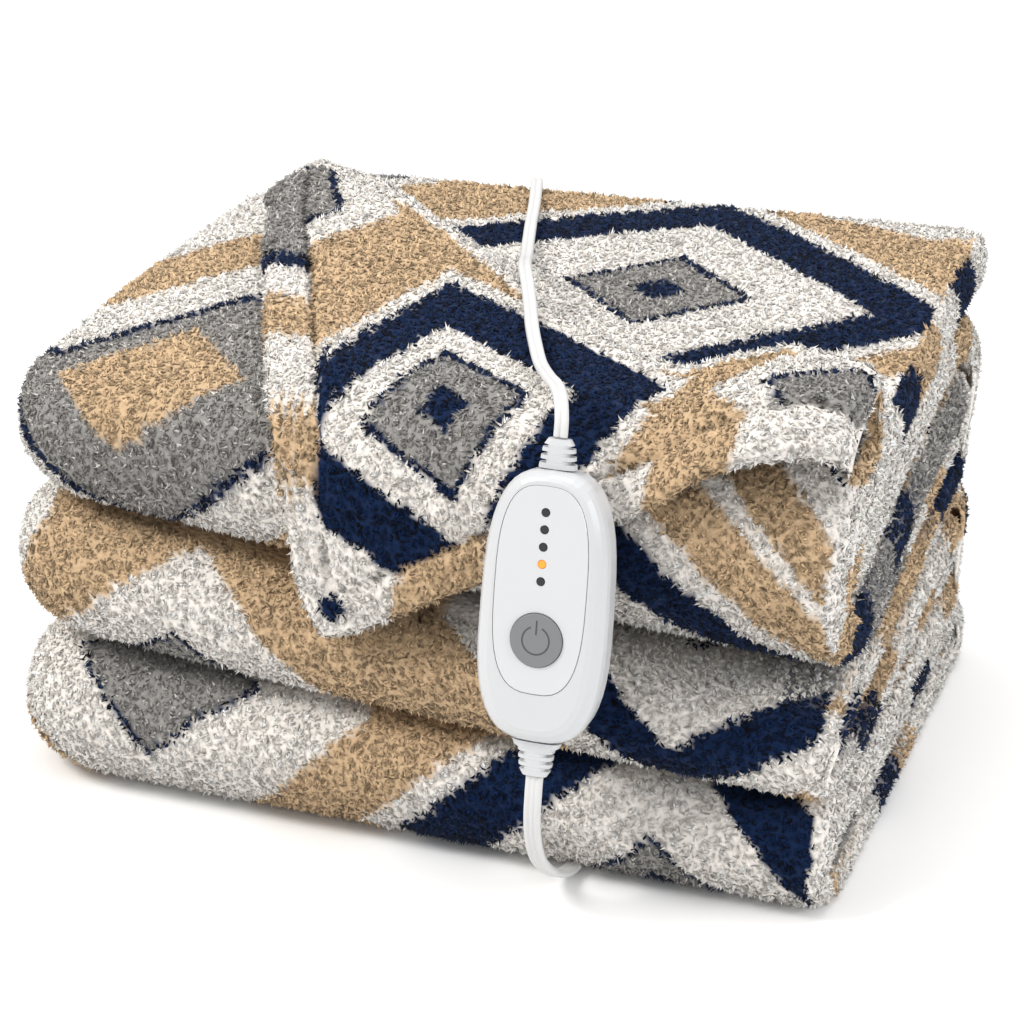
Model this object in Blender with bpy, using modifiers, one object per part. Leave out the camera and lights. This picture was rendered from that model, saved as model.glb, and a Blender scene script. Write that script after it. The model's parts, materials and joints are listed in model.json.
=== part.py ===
"""An electric heated blanket: a plush throw folded in three, its top corner turned over the
front, with the in-line controller hanging on its leads.

Metres, +X to the right, -Y to the front, +Z up, the floor at z = 0. The throw is one ribbon
of cloth, twelve plies high, lofted from left to right, and its corner flap is the ribbon's end.
Everything is placed from the middle of the folded stack, and stands on one root that brings the
middle of the solids' own box to the origin.
"""

import math

import bmesh
import bpy
import numpy as np
from mathutils import Matrix, Vector

MM = 0.001
CLEAR = 0.3 * MM  # between pieces that touch
ORIGIN = (2.65 * MM, -19.49 * MM, 0)  # the middle of the box, from the middle of the stack

# --- The folded throw -----------------------------------------------------------------------
HALF_WIDTH = 215 * MM
HALF_DEPTH = 165 * MM
PLY_GAP = 1.6 * MM
FLAP_THICK = 12 * MM
FLAP_CLEAR = 2 * MM
FLAP_NOSE = 13 * MM
HAIRPIN = 1.5 * MM
LEFT_CORNER = 60 * MM  # plan radius of the rounded left end
RIGHT_CORNER = 12 * MM
PLY_EDGE = 8 * MM  # how far in from the right end the plies round off
BACK_SLANT = 34 * MM  # the left end is this much shorter at the back
SETBACK = (0, 2 * MM, 9 * MM)  # how far each fold's front stands back, from the floor up
KICK = 0.15  # how much the flap's hanging tip leans out
BACK_RISE = 1.7  # exponent of the levels' rise from front to back
FOLD_DEPTH = 40 * MM  # how far in from the edge a fold's thickness is taken
LAST_SHORT = 6 * MM  # how far in the top ply's free end stands at the back
DRAPE_ROUND = 10 * MM  # how far out the flap's own middle turns over the front
LOW_MIDDLE = 0.35  # where the bottom fold narrows to at its left end, as a share of its height
PINCH_LEFT, PINCH_RIGHT, PINCH_FLAP = 0.75, 0.8, 0.6  # how much the ends round off

# The order in which the ribbon visits the plies, counted up from the floor.
RIBBON = (11, 8, 7, 4, 3, 0, 1, 2, 5, 6, 9, 10)
PLIES_PER_FOLD = 4

# Heights in mm of the main levels, at the front (left, middle, right) and the back.
LEVELS = (
    # plies below, front left, front middle, front right, back left, back right
    (0, 0, 0, 0, 0, 0),
    (4, 75, 59, 52, 76, 75),
    (8, 143, 108, 92, 150, 149),
    (11, 187, 191, 182, 233, 237),
    (12, 200, 205, 197, 247, 251),
)
LEVEL_X = (-165 * MM, 50 * MM, 205 * MM)
LEVEL_PAST = 30 * MM  # how far past the left column the levels keep curving

# How far each ply ends short of the right end, in mm, from the floor up.
SHORT_RIGHT = (0, 3, 1, 4, 2, 5, 1, 3, 0, 4, 2, 1)

# The turned-over corner, as (x, y) in mm with y run on down the front as if laid flat:
# the line it is folded along, and its free edge from the back past its tip to the right.
FOLD_LINE = ((-215, 97), (-172, 97), (-114, 78), (-30, 12), (15, -28), (45, -56), (96, -82), (150, -93),
             (215, -95))
FREE_EDGE = ((-215, 74), (-180, 66), (-126, -21), (-84, -99), (-54, -159), (-44, -195), (-36, -232),
             (-24, -250), (-9, -247), (15, -234), (54, -212), (105, -178), (152, -154), (193, -142),
             (215, -140))
LIFT = ((-215, 0), (120, 0), (145, 14), (172, 24), (215, 20))  # how far it stands off, in mm

STATIONS = (-215, -212, -203, -192, -180, -153, -126, -105, -84, -69, -54, -45, -36, -24, -9, 20, 58,
            95, 120, 150, 175, 195, 206, 212, 215)
RUN_POINTS, FLAP_POINTS, OUTER_STEPS, INNER_STEPS, LIP_STEPS = 4, 9, 6, 4, 3


def table(rows, x):
    """Reads a two-column table in mm at x, in metres."""
    xs, values = np.array(rows, float).T * MM
    return float(np.interp(x, xs, values))


def quadratic(xs, values, x):
    """The parabola through three points."""
    (a, b, c), (p, q, r) = xs, values
    return (p * (x - b) * (x - c) / ((a - b) * (a - c)) + q * (x - a) * (x - c) / ((b - a) * (b - c))
            + r * (x - a) * (x - b) / ((c - a) * (c - b)))


def corner(x, end, radius):
    """0 away from an end of the stack, rising to 1 at it, over the radius of its corner."""
    return min(1.0, max(0.0, (abs(x) - abs(end) + radius) / radius)) if x * end > 0 else 0.0


def recess(x, radius_left, radius_right):
    """How far a plan corner has curved back at x."""
    left, right = corner(x, -HALF_WIDTH, radius_left), corner(x, HALF_WIDTH, radius_right)
    return (radius_left * (1 - math.sqrt(1 - (0.99 * left) ** 2))
            + radius_right * (1 - math.sqrt(1 - (0.99 * right) ** 2)))


def front_of(x):
    return -HALF_DEPTH + recess(x, LEFT_CORNER, RIGHT_CORNER)


def back_of(x):
    return HALF_DEPTH - recess(x, 1.2 * LEFT_CORNER, 2 * RIGHT_CORNER)


def level(plies, x, y):
    """The height over so many plies, before their gaps are taken out."""
    rows = np.array(LEVELS, float)
    at = [np.interp(plies, rows[:, 0], rows[:, i]) * MM for i in range(1, 6)]
    inside = min(max(x, LEVEL_X[0] - LEVEL_PAST), HALF_WIDTH)
    front = quadratic(LEVEL_X, at[:3], inside)
    across = (inside + HALF_WIDTH) / (2 * HALF_WIDTH)
    back = at[3] + (at[4] - at[3]) * across
    deep = min(1.0, max(0.0, (y + HALF_DEPTH) / (2 * HALF_DEPTH)))
    return front + (back - front) * (1 - (1 - deep) ** BACK_RISE)


def squeezed(z, fold, x, y):
    """Each fold narrows towards its own middle at the rounded left end."""
    near = corner(x, -HALF_WIDTH, LEFT_CORNER)
    if near == 0:
        return z
    low = level(PLIES_PER_FOLD * fold, x, y)
    high = level(PLIES_PER_FOLD * (fold + 1), x, y)
    middle = low + (high - low) * (0.5 if fold else LOW_MIDDLE)
    return middle + (z - middle) * math.sqrt(1 - (PINCH_LEFT * near) ** 2)


def faces_of(ply, x, y):
    """The heights of a ply's top and bottom faces."""
    fold = ply // PLIES_PER_FOLD
    bottom = squeezed(level(ply, x, y), fold, x, y)
    top = squeezed(level(ply + 1, x, y), fold, x, y)
    half_gap = PLY_GAP / 2 * (top - bottom) / (level(ply + 1, x, y) - level(ply, x, y))
    middle, half = (top + bottom) / 2, (top - bottom) / 2 - half_gap
    if ply == 0:
        middle, half = middle - half_gap / 2, half + half_gap / 2
    near = corner(x, HALF_WIDTH, PLY_EDGE)
    half *= math.sqrt(1 - (PINCH_RIGHT * near) ** 2)
    return middle + half, middle - half


def reach(plies, x, y):
    """How far a nested pair of turns stands out past the straight runs of its plies."""
    high, low = faces_of(plies[-1], x, y)[0], faces_of(plies[0], x, y)[1]
    gaps = (len(plies) - 1) * PLY_GAP
    return (high - low - gaps) / 2 + 2 * HAIRPIN


def front_turn(ply, x):
    """Where a ply's straight run ends at the front, and its fold's reach there."""
    fold = ply // PLIES_PER_FOLD
    plies = range(PLIES_PER_FOLD * fold, PLIES_PER_FOLD * (fold + 1))
    out = reach(plies, x, -HALF_DEPTH + FOLD_DEPTH)
    return front_of(x) + out + SETBACK[fold], out


def back_turn(ply, x):
    """Where a ply's straight run ends at the back, and the reach of the turns there."""
    if ply < 2:
        out = reach(range(0, 2), x, HALF_DEPTH) - HAIRPIN
    else:
        first = 2 if ply < 6 else 6
        out = reach(range(first, first + PLIES_PER_FOLD), x, HALF_DEPTH - FOLD_DEPTH)
    if ply == 11:
        return table(FOLD_LINE, x), FLAP_NOSE
    return back_of(x) - (LAST_SHORT if ply == RIBBON[-1] else out), out


def turn_sizes(upper, lower, out):
    """The reach of a turn's outer and inner faces."""
    if upper - lower == 3:
        return out, out / 2 + HAIRPIN / 2 + PLY_GAP / 2
    if lower == 0:
        return out, HAIRPIN
    return out / 2 + HAIRPIN / 2 - PLY_GAP / 2, HAIRPIN


def drape(x, s, off):
    """A point that stands off the top fold's outer face, s along it from the back."""
    centre, out = front_turn(11, x)
    if s >= centre:
        return s, faces_of(11, x, s)[0] + off
    top, bottom = faces_of(11, x, centre)[0], faces_of(8, x, centre)[1]
    middle, rise = (top + bottom) / 2, (top - bottom) / 2
    quarter = math.pi / 2 * math.sqrt(((out + DRAPE_ROUND) ** 2 + (rise + DRAPE_ROUND) ** 2) / 2)
    past = centre - s
    if past < quarter:
        turned = past / quarter * math.pi / 2
        return (centre - (out + off) * math.sin(turned),
                middle + (rise + off) * math.cos(turned))
    hanging = past - quarter
    return centre - out - off - KICK * hanging, middle - hanging


def turn(sides, y, way, outer, inner, downward, outer_first, steps, plies):
    """Adds a half turn to the ribbon's two faces. outer and inner are (high, low, reach)."""
    for i in range(1, steps):
        angle = math.pi * (0.5 - i / steps) * (1 if downward else -1)
        which = plies[0] + (plies[1] - plies[0]) * i / steps
        pair = [
            (y + way * out * math.cos(angle), (high + low) / 2 + (high - low) / 2 * math.sin(angle), which)
            for high, low, out in (outer, inner)
        ]
        sides[0].append(pair[0 if outer_first else 1])
        sides[1].append(pair[1 if outer_first else 0])


def flap_section(sides, x):
    """The ribbon's first stretch: the turned-over corner, from its free edge to the fold line."""
    start, end = table(FREE_EDGE, x), table(FOLD_LINE, x)
    thin = math.sqrt(1 - (PINCH_LEFT * corner(x, -HALF_WIDTH, LEFT_CORNER)) ** 2)
    thin *= math.sqrt(1 - (PINCH_FLAP * corner(x, HALF_WIDTH, PLY_EDGE)) ** 2)
    under = FLAP_CLEAR + table(LIFT, x)
    over = under + FLAP_THICK * thin
    for s in np.linspace(start, end, FLAP_POINTS):
        sides[0].append((*drape(x, s, over), 11))
        sides[1].append((*drape(x, s, under), 11))
    top, bottom = faces_of(11, x, end)
    turn(sides, end, 1, (top + over, bottom, FLAP_NOSE), (top + under, top, HAIRPIN), True, True,
         OUTER_STEPS, (11, 11))


def section(x):
    """The ribbon at one station: the points (y, z, ply) along each of its two faces."""
    sides = [], []
    flap_section(sides, x)
    for place, ply in enumerate(RIBBON):
        to_front = place % 2 == 0
        end_of = front_turn if to_front else back_turn
        run = np.linspace(front_turn(ply, x)[0], back_turn(ply, x)[0], RUN_POINTS)
        for y in run[::-1] if to_front else run:
            high, low = faces_of(ply, x, y)
            sides[0].append((y, low if to_front else high, ply))
            sides[1].append((y, high if to_front else low, ply))
        if place + 1 == len(RIBBON):
            return sides
        other = RIBBON[place + 1]
        upper, lower = max(ply, other), min(ply, other)
        where, out = end_of(ply, x)
        above, below = faces_of(upper, x, where), faces_of(lower, x, where)
        big, small = turn_sizes(upper, lower, out)
        turn(sides, where, -1 if to_front else 1, (above[0], below[1], big), (above[1], below[0], small),
             ply > other, (ply > other) != to_front,
             OUTER_STEPS if upper - lower == 3 else INNER_STEPS, (ply, other))


def lip(first, second, before):
    """The rounded free edge between the ribbon's two faces, from first to second."""
    first, second, before = (np.array(p[:2]) for p in (first, second, before))
    middle, half = (first + second) / 2, (first - second) / 2
    out = first - before
    out = out / np.linalg.norm(out) * np.linalg.norm(half)
    return [
        tuple(middle + half * math.cos(a) + out * math.sin(a))
        for a in (math.pi * i / LIP_STEPS for i in range(1, LIP_STEPS))
    ]


def placed(x, y, z, ply):
    """A section's point in space: uneven at the right end, and shorter at the back left."""
    right = min(1.0, max(0.0, (x - 0.6 * HALF_WIDTH) / (0.4 * HALF_WIDTH)))
    short = float(np.interp(ply, range(len(SHORT_RIGHT)), SHORT_RIGHT)) * MM
    left = (HALF_WIDTH - x) / (2 * HALF_WIDTH)
    deep = min(1.0, max(0.0, (y + HALF_DEPTH) / (2 * HALF_DEPTH)))
    return x - short * right**2 + BACK_SLANT * deep * left**2, y, z


def make_blanket(material):
    """Lofts the ribbon through its stations, and closes its two ends with strips."""
    mesh = bmesh.new()
    loops = []
    for x in (value * MM for value in STATIONS):
        a, b = section(x)
        near = lip(b[0], a[0], b[1])
        far = lip(a[-1], b[-1], a[-2])
        ring = [placed(x, *p) for p in a] + [placed(x, *p, RIBBON[-1]) for p in far]
        ring += [placed(x, *p) for p in reversed(b)] + [placed(x, *p, RIBBON[0]) for p in near]
        loops.append([mesh.verts.new(p) for p in ring])
    count, along = len(loops[0]), len(a)
    for one, two in zip(loops, loops[1:]):
        for i in range(count):
            j = (i + 1) % count
            mesh.faces.new((one[i], one[j], two[j], two[i]))
    lips = LIP_STEPS - 1
    for ring, way in ((loops[0], -1), (loops[-1], 1)):
        back = [ring[along + lips + along - 1 - i] for i in range(along)]
        for i in range(along - 1):
            mesh.faces.new((ring[i], ring[i + 1], back[i + 1], back[i])[::way])
        mesh.faces.new(([ring[along - 1 + i] for i in range(lips + 2)])[::way])
        mesh.faces.new(([ring[i % count] for i in range(count - lips - 1, count + 1)])[::way])
    return finished(mesh, "blanket", material, smooth=60)


# --- Making and naming ----------------------------------------------------------------------
def collection(name):
    made = bpy.data.collections.new(name)
    bpy.context.scene.collection.children.link(made)
    return made


def finish_material(name, colour, roughness, metallic=0.0):
    material = bpy.data.materials.new(name)
    material.use_nodes = True
    shader = material.node_tree.nodes["Principled BSDF"]
    shader.inputs["Base Color"].default_value = (*colour, 1)
    shader.inputs["Roughness"].default_value = roughness
    shader.inputs["Metallic"].default_value = metallic
    return material


def finished(mesh, name, material, smooth=35):
    """Turns a bmesh into a named object with outward faces."""
    bmesh.ops.triangulate(mesh, faces=mesh.faces)
    bmesh.ops.recalc_face_normals(mesh, faces=mesh.faces)
    data = bpy.data.meshes.new(name)
    mesh.to_mesh(data)
    mesh.free()
    data.materials.append(material)
    data.shade_smooth()
    data.set_sharp_from_angle(angle=math.radians(smooth))
    made = bpy.data.objects.new(name, data)
    PARTS.objects.link(made)
    return made


def lofted(rings, name, material, smooth=35):
    """One closed body through rings of equal length, from the first ring to the last."""
    mesh = bmesh.new()
    loops = [[mesh.verts.new(p) for p in ring] for ring in rings]
    for one, two in zip(loops, loops[1:]):
        for i in range(len(one)):
            j = (i + 1) % len(one)
            mesh.faces.new((one[i], one[j], two[j], two[i]))
    mesh.faces.new(loops[0])
    mesh.faces.new(loops[-1])
    return finished(mesh, name, material, smooth)


# --- The controller: local X across it, Y up its length, Z out of its face ------------------
BODY_HALF = (29.6 * MM, 61 * MM)
BODY_SQUARE = 3.0  # exponent of the body's rounded outline
BODY_TAPER = 0.035  # how much narrower the top is
TOP_INSET = 0.55  # the face's rim is this much narrower at its top
PANEL_HALF = (21.3 * MM, 46.6 * MM)
PANEL_UP = 8.7 * MM  # the panel's middle, above the body's
PANEL_SQUARE = 3.0
PANEL_DEEP = 1.2 * MM
PANEL_PROUD = 0.3 * MM
FACE_HEIGHT = 12 * MM
# The front shell's and the back shell's profiles, in mm: how far in from the outline, and how high.
FRONT_PROFILE = ((0, 0.15), (0, 4.2), (0.7, 6.8), (2.2, 9.2), (4.4, 11), (7, 12))
BACK_PROFILE = ((7, -12), (3.6, -10.6), (1.4, -8.2), (0.5, -5), (0.5, -0.15))
BUTTON_AT = -13.2 * MM
BUTTON_RADIUS = 12 * MM
BUTTON_THICK = 3 * MM
BUTTON_PROUD = 1.1 * MM
BUTTON_TRAVEL = 1 * MM
LAMPS_AT = (43.6 * MM, 36 * MM, 28.3 * MM, 20.7 * MM, 13 * MM)
LIT_LAMP = 3  # counted from the top, from 0
LAMP_RADIUS = 1.75 * MM
LAMP_PROUD = 0.2 * MM
MIDDLE = (90.2 * MM, -186.9 * MM, 153.0 * MM)
TILT = math.radians(12)
# The strain reliefs, in mm from the body's end: half width, half depth, and how far along.
RELIEF_TOP = ((8.6, 4.4, 0), (8.4, 4.3, 2.2), (5.4, 4.2, 2.3), (5.4, 4.2, 3.8), (8.0, 4.1, 3.9),
              (7.9, 4, 5.6), (5.2, 3.9, 5.7), (5.2, 3.9, 7.2), (7.6, 3.8, 7.3), (7.4, 3.7, 9.0),
              (5, 3.6, 9.1), (5, 3.6, 10.4), (6.8, 3.4, 10.5), (5.2, 2.9, 13))
RELIEF_BOTTOM = ((11.5, 5.4, 0), (10.4, 5.2, 2.4), (8.4, 4.8, 3.6), (8.4, 4.7, 4.8), (5.6, 4.6, 4.9),
                 (5.6, 4.5, 6.4), (8.1, 4.4, 6.5), (8.0, 4.3, 8.2), (5.4, 4.2, 8.3), (5.4, 4.1, 9.8),
                 (7.8, 4, 9.9), (7.6, 3.9, 11.6), (5.2, 3.8, 11.7), (5.2, 3.7, 13.2), (7.2, 3.6, 13.3),
                 (5.6, 3.2, 16))


def outline(half, square, taper, inset, z, count=48):
    """A rounded outline, drawn in by inset, as points at height z."""
    points = []
    for i in range(count):
        angle = 2 * math.pi * i / count
        c, s = math.cos(angle), math.sin(angle)
        rim = inset * (TOP_INSET if s > 0 else 1)
        y = (half[1] - rim) * math.copysign(abs(s) ** (2 / square), s)
        wide = (half[0] - inset) * (1 - taper * y / half[1])
        points.append((wide * math.copysign(abs(c) ** (2 / square), c), y, z))
    return points


def body_ring(inset, z):
    return outline(BODY_HALF, BODY_SQUARE, BODY_TAPER, inset, z)


def panel_ring(inset, z):
    return [(x, y + PANEL_UP, z) for x, y, z in outline(PANEL_HALF, PANEL_SQUARE, 0.0, inset, z)]


def cylinder(name, radius, depth, y, z_bottom, material, sides=32, bevel=0.0):
    """A short cylinder on the controller's face."""
    mesh = bmesh.new()
    bmesh.ops.create_cone(mesh, cap_ends=True, segments=sides, radius1=radius, radius2=radius, depth=depth,
                          matrix=Matrix.Translation((0, 0, z_bottom + depth / 2)))
    if bevel:
        rim = [e for e in mesh.edges if all(v.co.z > z_bottom + depth / 2 for v in e.verts)]
        bmesh.ops.bevel(mesh, geom=rim, offset=bevel, segments=3, profile=0.5, affect="EDGES")
    made = finished(mesh, name, material)
    made.location = (0, y, 0)
    return made


def cut(target, name, radius, y, z_bottom, z_top, sides=32):
    """Cuts a round hole in a piece of the controller."""
    cutter = cylinder(name, radius, z_top - z_bottom, y, z_bottom, target.data.materials[0], sides)
    PARTS.objects.unlink(cutter)
    CUTTERS.objects.link(cutter)
    cutter.hide_render = True
    cutter.display_type = "WIRE"
    hole = target.modifiers.new(name, "BOOLEAN")
    hole.object = cutter
    hole.operation = "DIFFERENCE"
    return cutter


def make_relief(name, profile, end, way, material):
    """A slotted strain relief on the body's end. Its cuts come in from both sides."""
    rings = [
        outline((wide * MM, deep * MM), 3, 0, 0, end + way * (CLEAR + along * MM), 16)
        for wide, deep, along in profile
    ]
    rings = [[(x, z, y) for x, y, z in ring] for ring in rings]
    return lofted(rings, name, material)


def make_controller(materials):
    """Makes the controller's pieces on an empty that stands at its middle, tilted back."""
    white, grey, dark, amber = (materials[k] for k in ("white", "grey", "dark", "amber"))
    seat = bpy.data.objects.new("controller_frame", None)
    PARTS.objects.link(seat)
    seat.location = Vector(MIDDLE)
    seat.rotation_euler = (math.pi / 2 - TILT, 0, 0)

    rings = [body_ring(inset * MM, z * MM) for inset, z in FRONT_PROFILE]
    rings += [panel_ring(0, FACE_HEIGHT), panel_ring(0, FACE_HEIGHT - PANEL_DEEP)]
    front = lofted(rings, "controller_front_shell", white)
    back = lofted([body_ring(inset * MM, z * MM) for inset, z in BACK_PROFILE], "controller_back_shell", white)
    low, high = FACE_HEIGHT - PANEL_DEEP + CLEAR, FACE_HEIGHT + PANEL_PROUD
    panel = lofted([panel_ring(CLEAR, low), panel_ring(CLEAR, high - 0.3 * MM), panel_ring(CLEAR + 0.3 * MM, high)],
                   "controller_face_panel", white)

    button_low = high + BUTTON_PROUD - BUTTON_THICK
    button = cylinder("power_button", BUTTON_RADIUS, BUTTON_THICK, BUTTON_AT, button_low, grey, 40, 0.5 * MM)
    cutters = [
        cut(panel, "button_hole", BUTTON_RADIUS + CLEAR, BUTTON_AT, low - MM, high + MM, 40),
        cut(front, "button_well", BUTTON_RADIUS + CLEAR, BUTTON_AT, button_low - BUTTON_TRAVEL - CLEAR,
            high + MM, 40),
    ]
    lamps = []
    for i, y in enumerate(LAMPS_AT):
        cutters.append(cut(panel, f"lamp_hole_{i + 1}", LAMP_RADIUS + CLEAR, y, low - MM, high + MM, 16))
        lamp = amber if i == LIT_LAMP else dark
        lamps.append(cylinder(f"lamp_{i + 1}", LAMP_RADIUS, high + LAMP_PROUD - low, y, low, lamp, 16))

    end = BODY_HALF[1]
    top = make_relief("relief_top", RELIEF_TOP, end, 1, white)
    bottom = make_relief("relief_bottom", RELIEF_BOTTOM, -end, -1, white)
    for piece in (front, back, panel, button, top, bottom, *lamps, *cutters):
        piece.parent = seat


# --- The leads ------------------------------------------------------------------------------
MAINS_WIDTH, BLANKET_LEAD_WIDTH = 6.6 * MM, 8.2 * MM
LEAD_STEP = 1.35  # diameters between a lead's points
# Each route is in mm, from the controller's strain relief outwards.
MAINS_ROUTE = ((90.2, -171.2, 226.5), (90.1, -169.4, 233.4), (87, -161.5, 239), (80.5, -148, 240.2),
               (71, -132, 238.2), (60, -112, 236.4), (51, -93.5, 238.2), (43, -76, 241), (35.5, -57.6, 244.2),
               (27.5, -38.7, 247.6), (19.5, -20, 248.6), (9.5, 8, 243), (0, 36, 235.2), (-9.5, 65, 232.4),
               (-18.5, 95, 234.4), (-27, 124.5, 236.2), (-35, 150, 237.8), (-40.5, 166.5, 235.8),
               (-43.8, 176.6, 226), (-45, 178.4, 208), (-45.5, 176, 182), (-46, 171.5, 145), (-46, 170, 100),
               (-46, 170, 60), (-46, 172, 30), (-46.5, 179, 13), (-48.3, 187, 5.5), (-49.6, 192.3, 4.2))
BLANKET_ROUTE = ((90.2, -203.1, 76.8), (90, -204.6, 67), (89, -203, 54), (88, -198, 40), (87.5, -190, 27),
                 (88, -179, 16), (89.5, -168, 8), (91, -157.5, 4.4))
COIL_MIDDLE = (-14 * MM, 224 * MM)
COIL_RADIUS = 36 * MM
COIL_HALF = (8.6 * MM, 5.6 * MM)  # of the bundle of turns, across and up
COIL_STEPS, COIL_SIDES = 32, 8
COIL_ROUND = 0.7  # exponent of the bundle's flattened round
TAIL_ROUTE = ((16.3, 260, 7.2), (22.4, 260, 7.2), (27.6, 260, 7.2))
PLUG_AT = (28 * MM, 260 * MM, 7.2 * MM)
# The plug's body, in mm: how far along, half width and half height.
PLUG_PROFILE = ((0, 3.9, 3.9), (9, 5, 5), (13, 9.5, 6.6), (17, 11.4, 7.0), (31, 11.8, 7.0), (32.6, 11, 6.3))
BLADE = (16.5 * MM, 1.5 * MM, 6.3 * MM)  # long, thick and wide
BLADE_PITCH = 12.7 * MM


def smooth_route(points, step):
    """Points a step apart on one smooth curve through a route's own points."""
    knots = np.array(points, float) * MM
    ends = np.vstack([2 * knots[0] - knots[1], knots, 2 * knots[-1] - knots[-2]])
    dense = [knots[0]]
    for i in range(1, len(ends) - 2):
        a, b, c, d = ends[i - 1 : i + 3]
        for t in np.linspace(0, 1, 25)[1:]:
            dense.append(0.5 * (2 * b + (c - a) * t + (2 * a - 5 * b + 4 * c - d) * t**2
                                + (3 * b - a - 3 * c + d) * t**3))
    dense = np.array(dense)
    along = np.concatenate([[0], np.cumsum(np.linalg.norm(np.diff(dense, axis=0), axis=1))])
    wanted = np.linspace(0, along[-1], max(3, round(along[-1] / step) + 1))
    return np.stack([np.interp(wanted, along, dense[:, i]) for i in range(3)], axis=1)


def make_lead(name, route, width, material):
    """A lead's free stretch, as a plain tube."""
    points = smooth_route(route, LEAD_STEP * width)
    curve = bpy.data.curves.new(name, "CURVE")
    curve.dimensions = "3D"
    curve.bevel_depth = width / 2
    curve.bevel_resolution = 2
    curve.use_fill_caps = True
    spline = curve.splines.new("POLY")
    spline.points.add(len(points) - 1)
    for point, at in zip(spline.points, points):
        point.co = (*at, 1)
    curve.materials.append(material)
    made = bpy.data.objects.new(name, curve)
    PARTS.objects.link(made)
    return made


def make_coil(material):
    """The mains lead's spare length: its neat round coil's outer form, a profile turned about Z."""
    mesh = bmesh.new()
    profile = []
    for j in range(COIL_SIDES):
        angle = 2 * math.pi * j / COIL_SIDES
        c, s = math.cos(angle), math.sin(angle)
        profile.append(mesh.verts.new((
            COIL_RADIUS + COIL_HALF[0] * math.copysign(abs(c) ** COIL_ROUND, c), 0,
            COIL_HALF[1] * (1 + math.copysign(abs(s) ** COIL_ROUND, s)))))
    for one, two in zip(profile, profile[1:] + profile[:1]):
        mesh.edges.new((one, two))
    made = finished(mesh, "mains_coil", material)
    made.location = (*COIL_MIDDLE, 0)
    turned = made.modifiers.new("turns", "SCREW")
    turned.steps = turned.render_steps = COIL_STEPS
    turned.use_merge_vertices = True
    turned.merge_threshold = 0.00001
    turned.use_normal_calculate = True
    return made


def make_plug(white, nickel):
    """The mains plug lying beside the coil, and its two flat blades."""
    rings = []
    for along, wide, high in PLUG_PROFILE:
        ring = outline((wide * MM, high * MM), 3, 0, 0, 0, 16)
        rings.append([(PLUG_AT[0] + along * MM, PLUG_AT[1] + y, PLUG_AT[2] + z) for y, z, _ in ring])
    lofted(rings, "mains_plug", white)
    face = PLUG_AT[0] + PLUG_PROFILE[-1][0] * MM + CLEAR
    for i, side in enumerate((-1, 1)):
        mesh = bmesh.new()
        bmesh.ops.create_cube(mesh, size=1, matrix=Matrix.Translation(
            (face + BLADE[0] / 2, PLUG_AT[1] + side * BLADE_PITCH / 2, PLUG_AT[2]))
            @ Matrix.Diagonal((*BLADE, 1)))
        finished(mesh, f"plug_blade_{i + 1}", nickel)


# --- Building -------------------------------------------------------------------------------
for old in list(bpy.data.objects):
    bpy.data.objects.remove(old, do_unlink=True)
PARTS, CUTTERS = collection("electric_heated_blanket"), collection("cutters")
MATERIALS = {
    "plush": finish_material("plush", (0.80, 0.76, 0.70), 0.95),
    "white": finish_material("white_plastic", (0.87, 0.87, 0.86), 0.32),
    "grey": finish_material("grey_button", (0.27, 0.27, 0.27), 0.4),
    "dark": finish_material("dark_lamp", (0.02, 0.02, 0.02), 0.25),
    "amber": finish_material("lit_lamp", (0.95, 0.45, 0.06), 0.25),
    "lead": finish_material("white_lead", (0.86, 0.86, 0.85), 0.4),
    "nickel": finish_material("nickel_blade", (0.75, 0.72, 0.66), 0.28, 1.0),
}
make_blanket(MATERIALS["plush"])
make_controller(MATERIALS)
make_lead("mains_lead", MAINS_ROUTE, MAINS_WIDTH, MATERIALS["lead"])
make_lead("blanket_lead", BLANKET_ROUTE, BLANKET_LEAD_WIDTH, MATERIALS["lead"])
make_coil(MATERIALS["lead"])
make_lead("mains_tail", TAIL_ROUTE, MAINS_WIDTH, MATERIALS["lead"])
make_plug(MATERIALS["white"], MATERIALS["nickel"])
ROOT = bpy.data.objects.new("stack_frame", None)
PARTS.objects.link(ROOT)
ROOT.location = -Vector(ORIGIN)
for piece in [*PARTS.objects, *CUTTERS.objects]:
    if piece is not ROOT and not piece.parent:
        piece.parent = ROOT
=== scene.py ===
"""The looks of a folded electric heated blanket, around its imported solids.

Metres, in the frame of the solids. The plush throw is lofted again, finer and with its pattern
laid along the cloth, and its pile is grown on it as small pointed tufts.
"""

import json
import math

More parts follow.
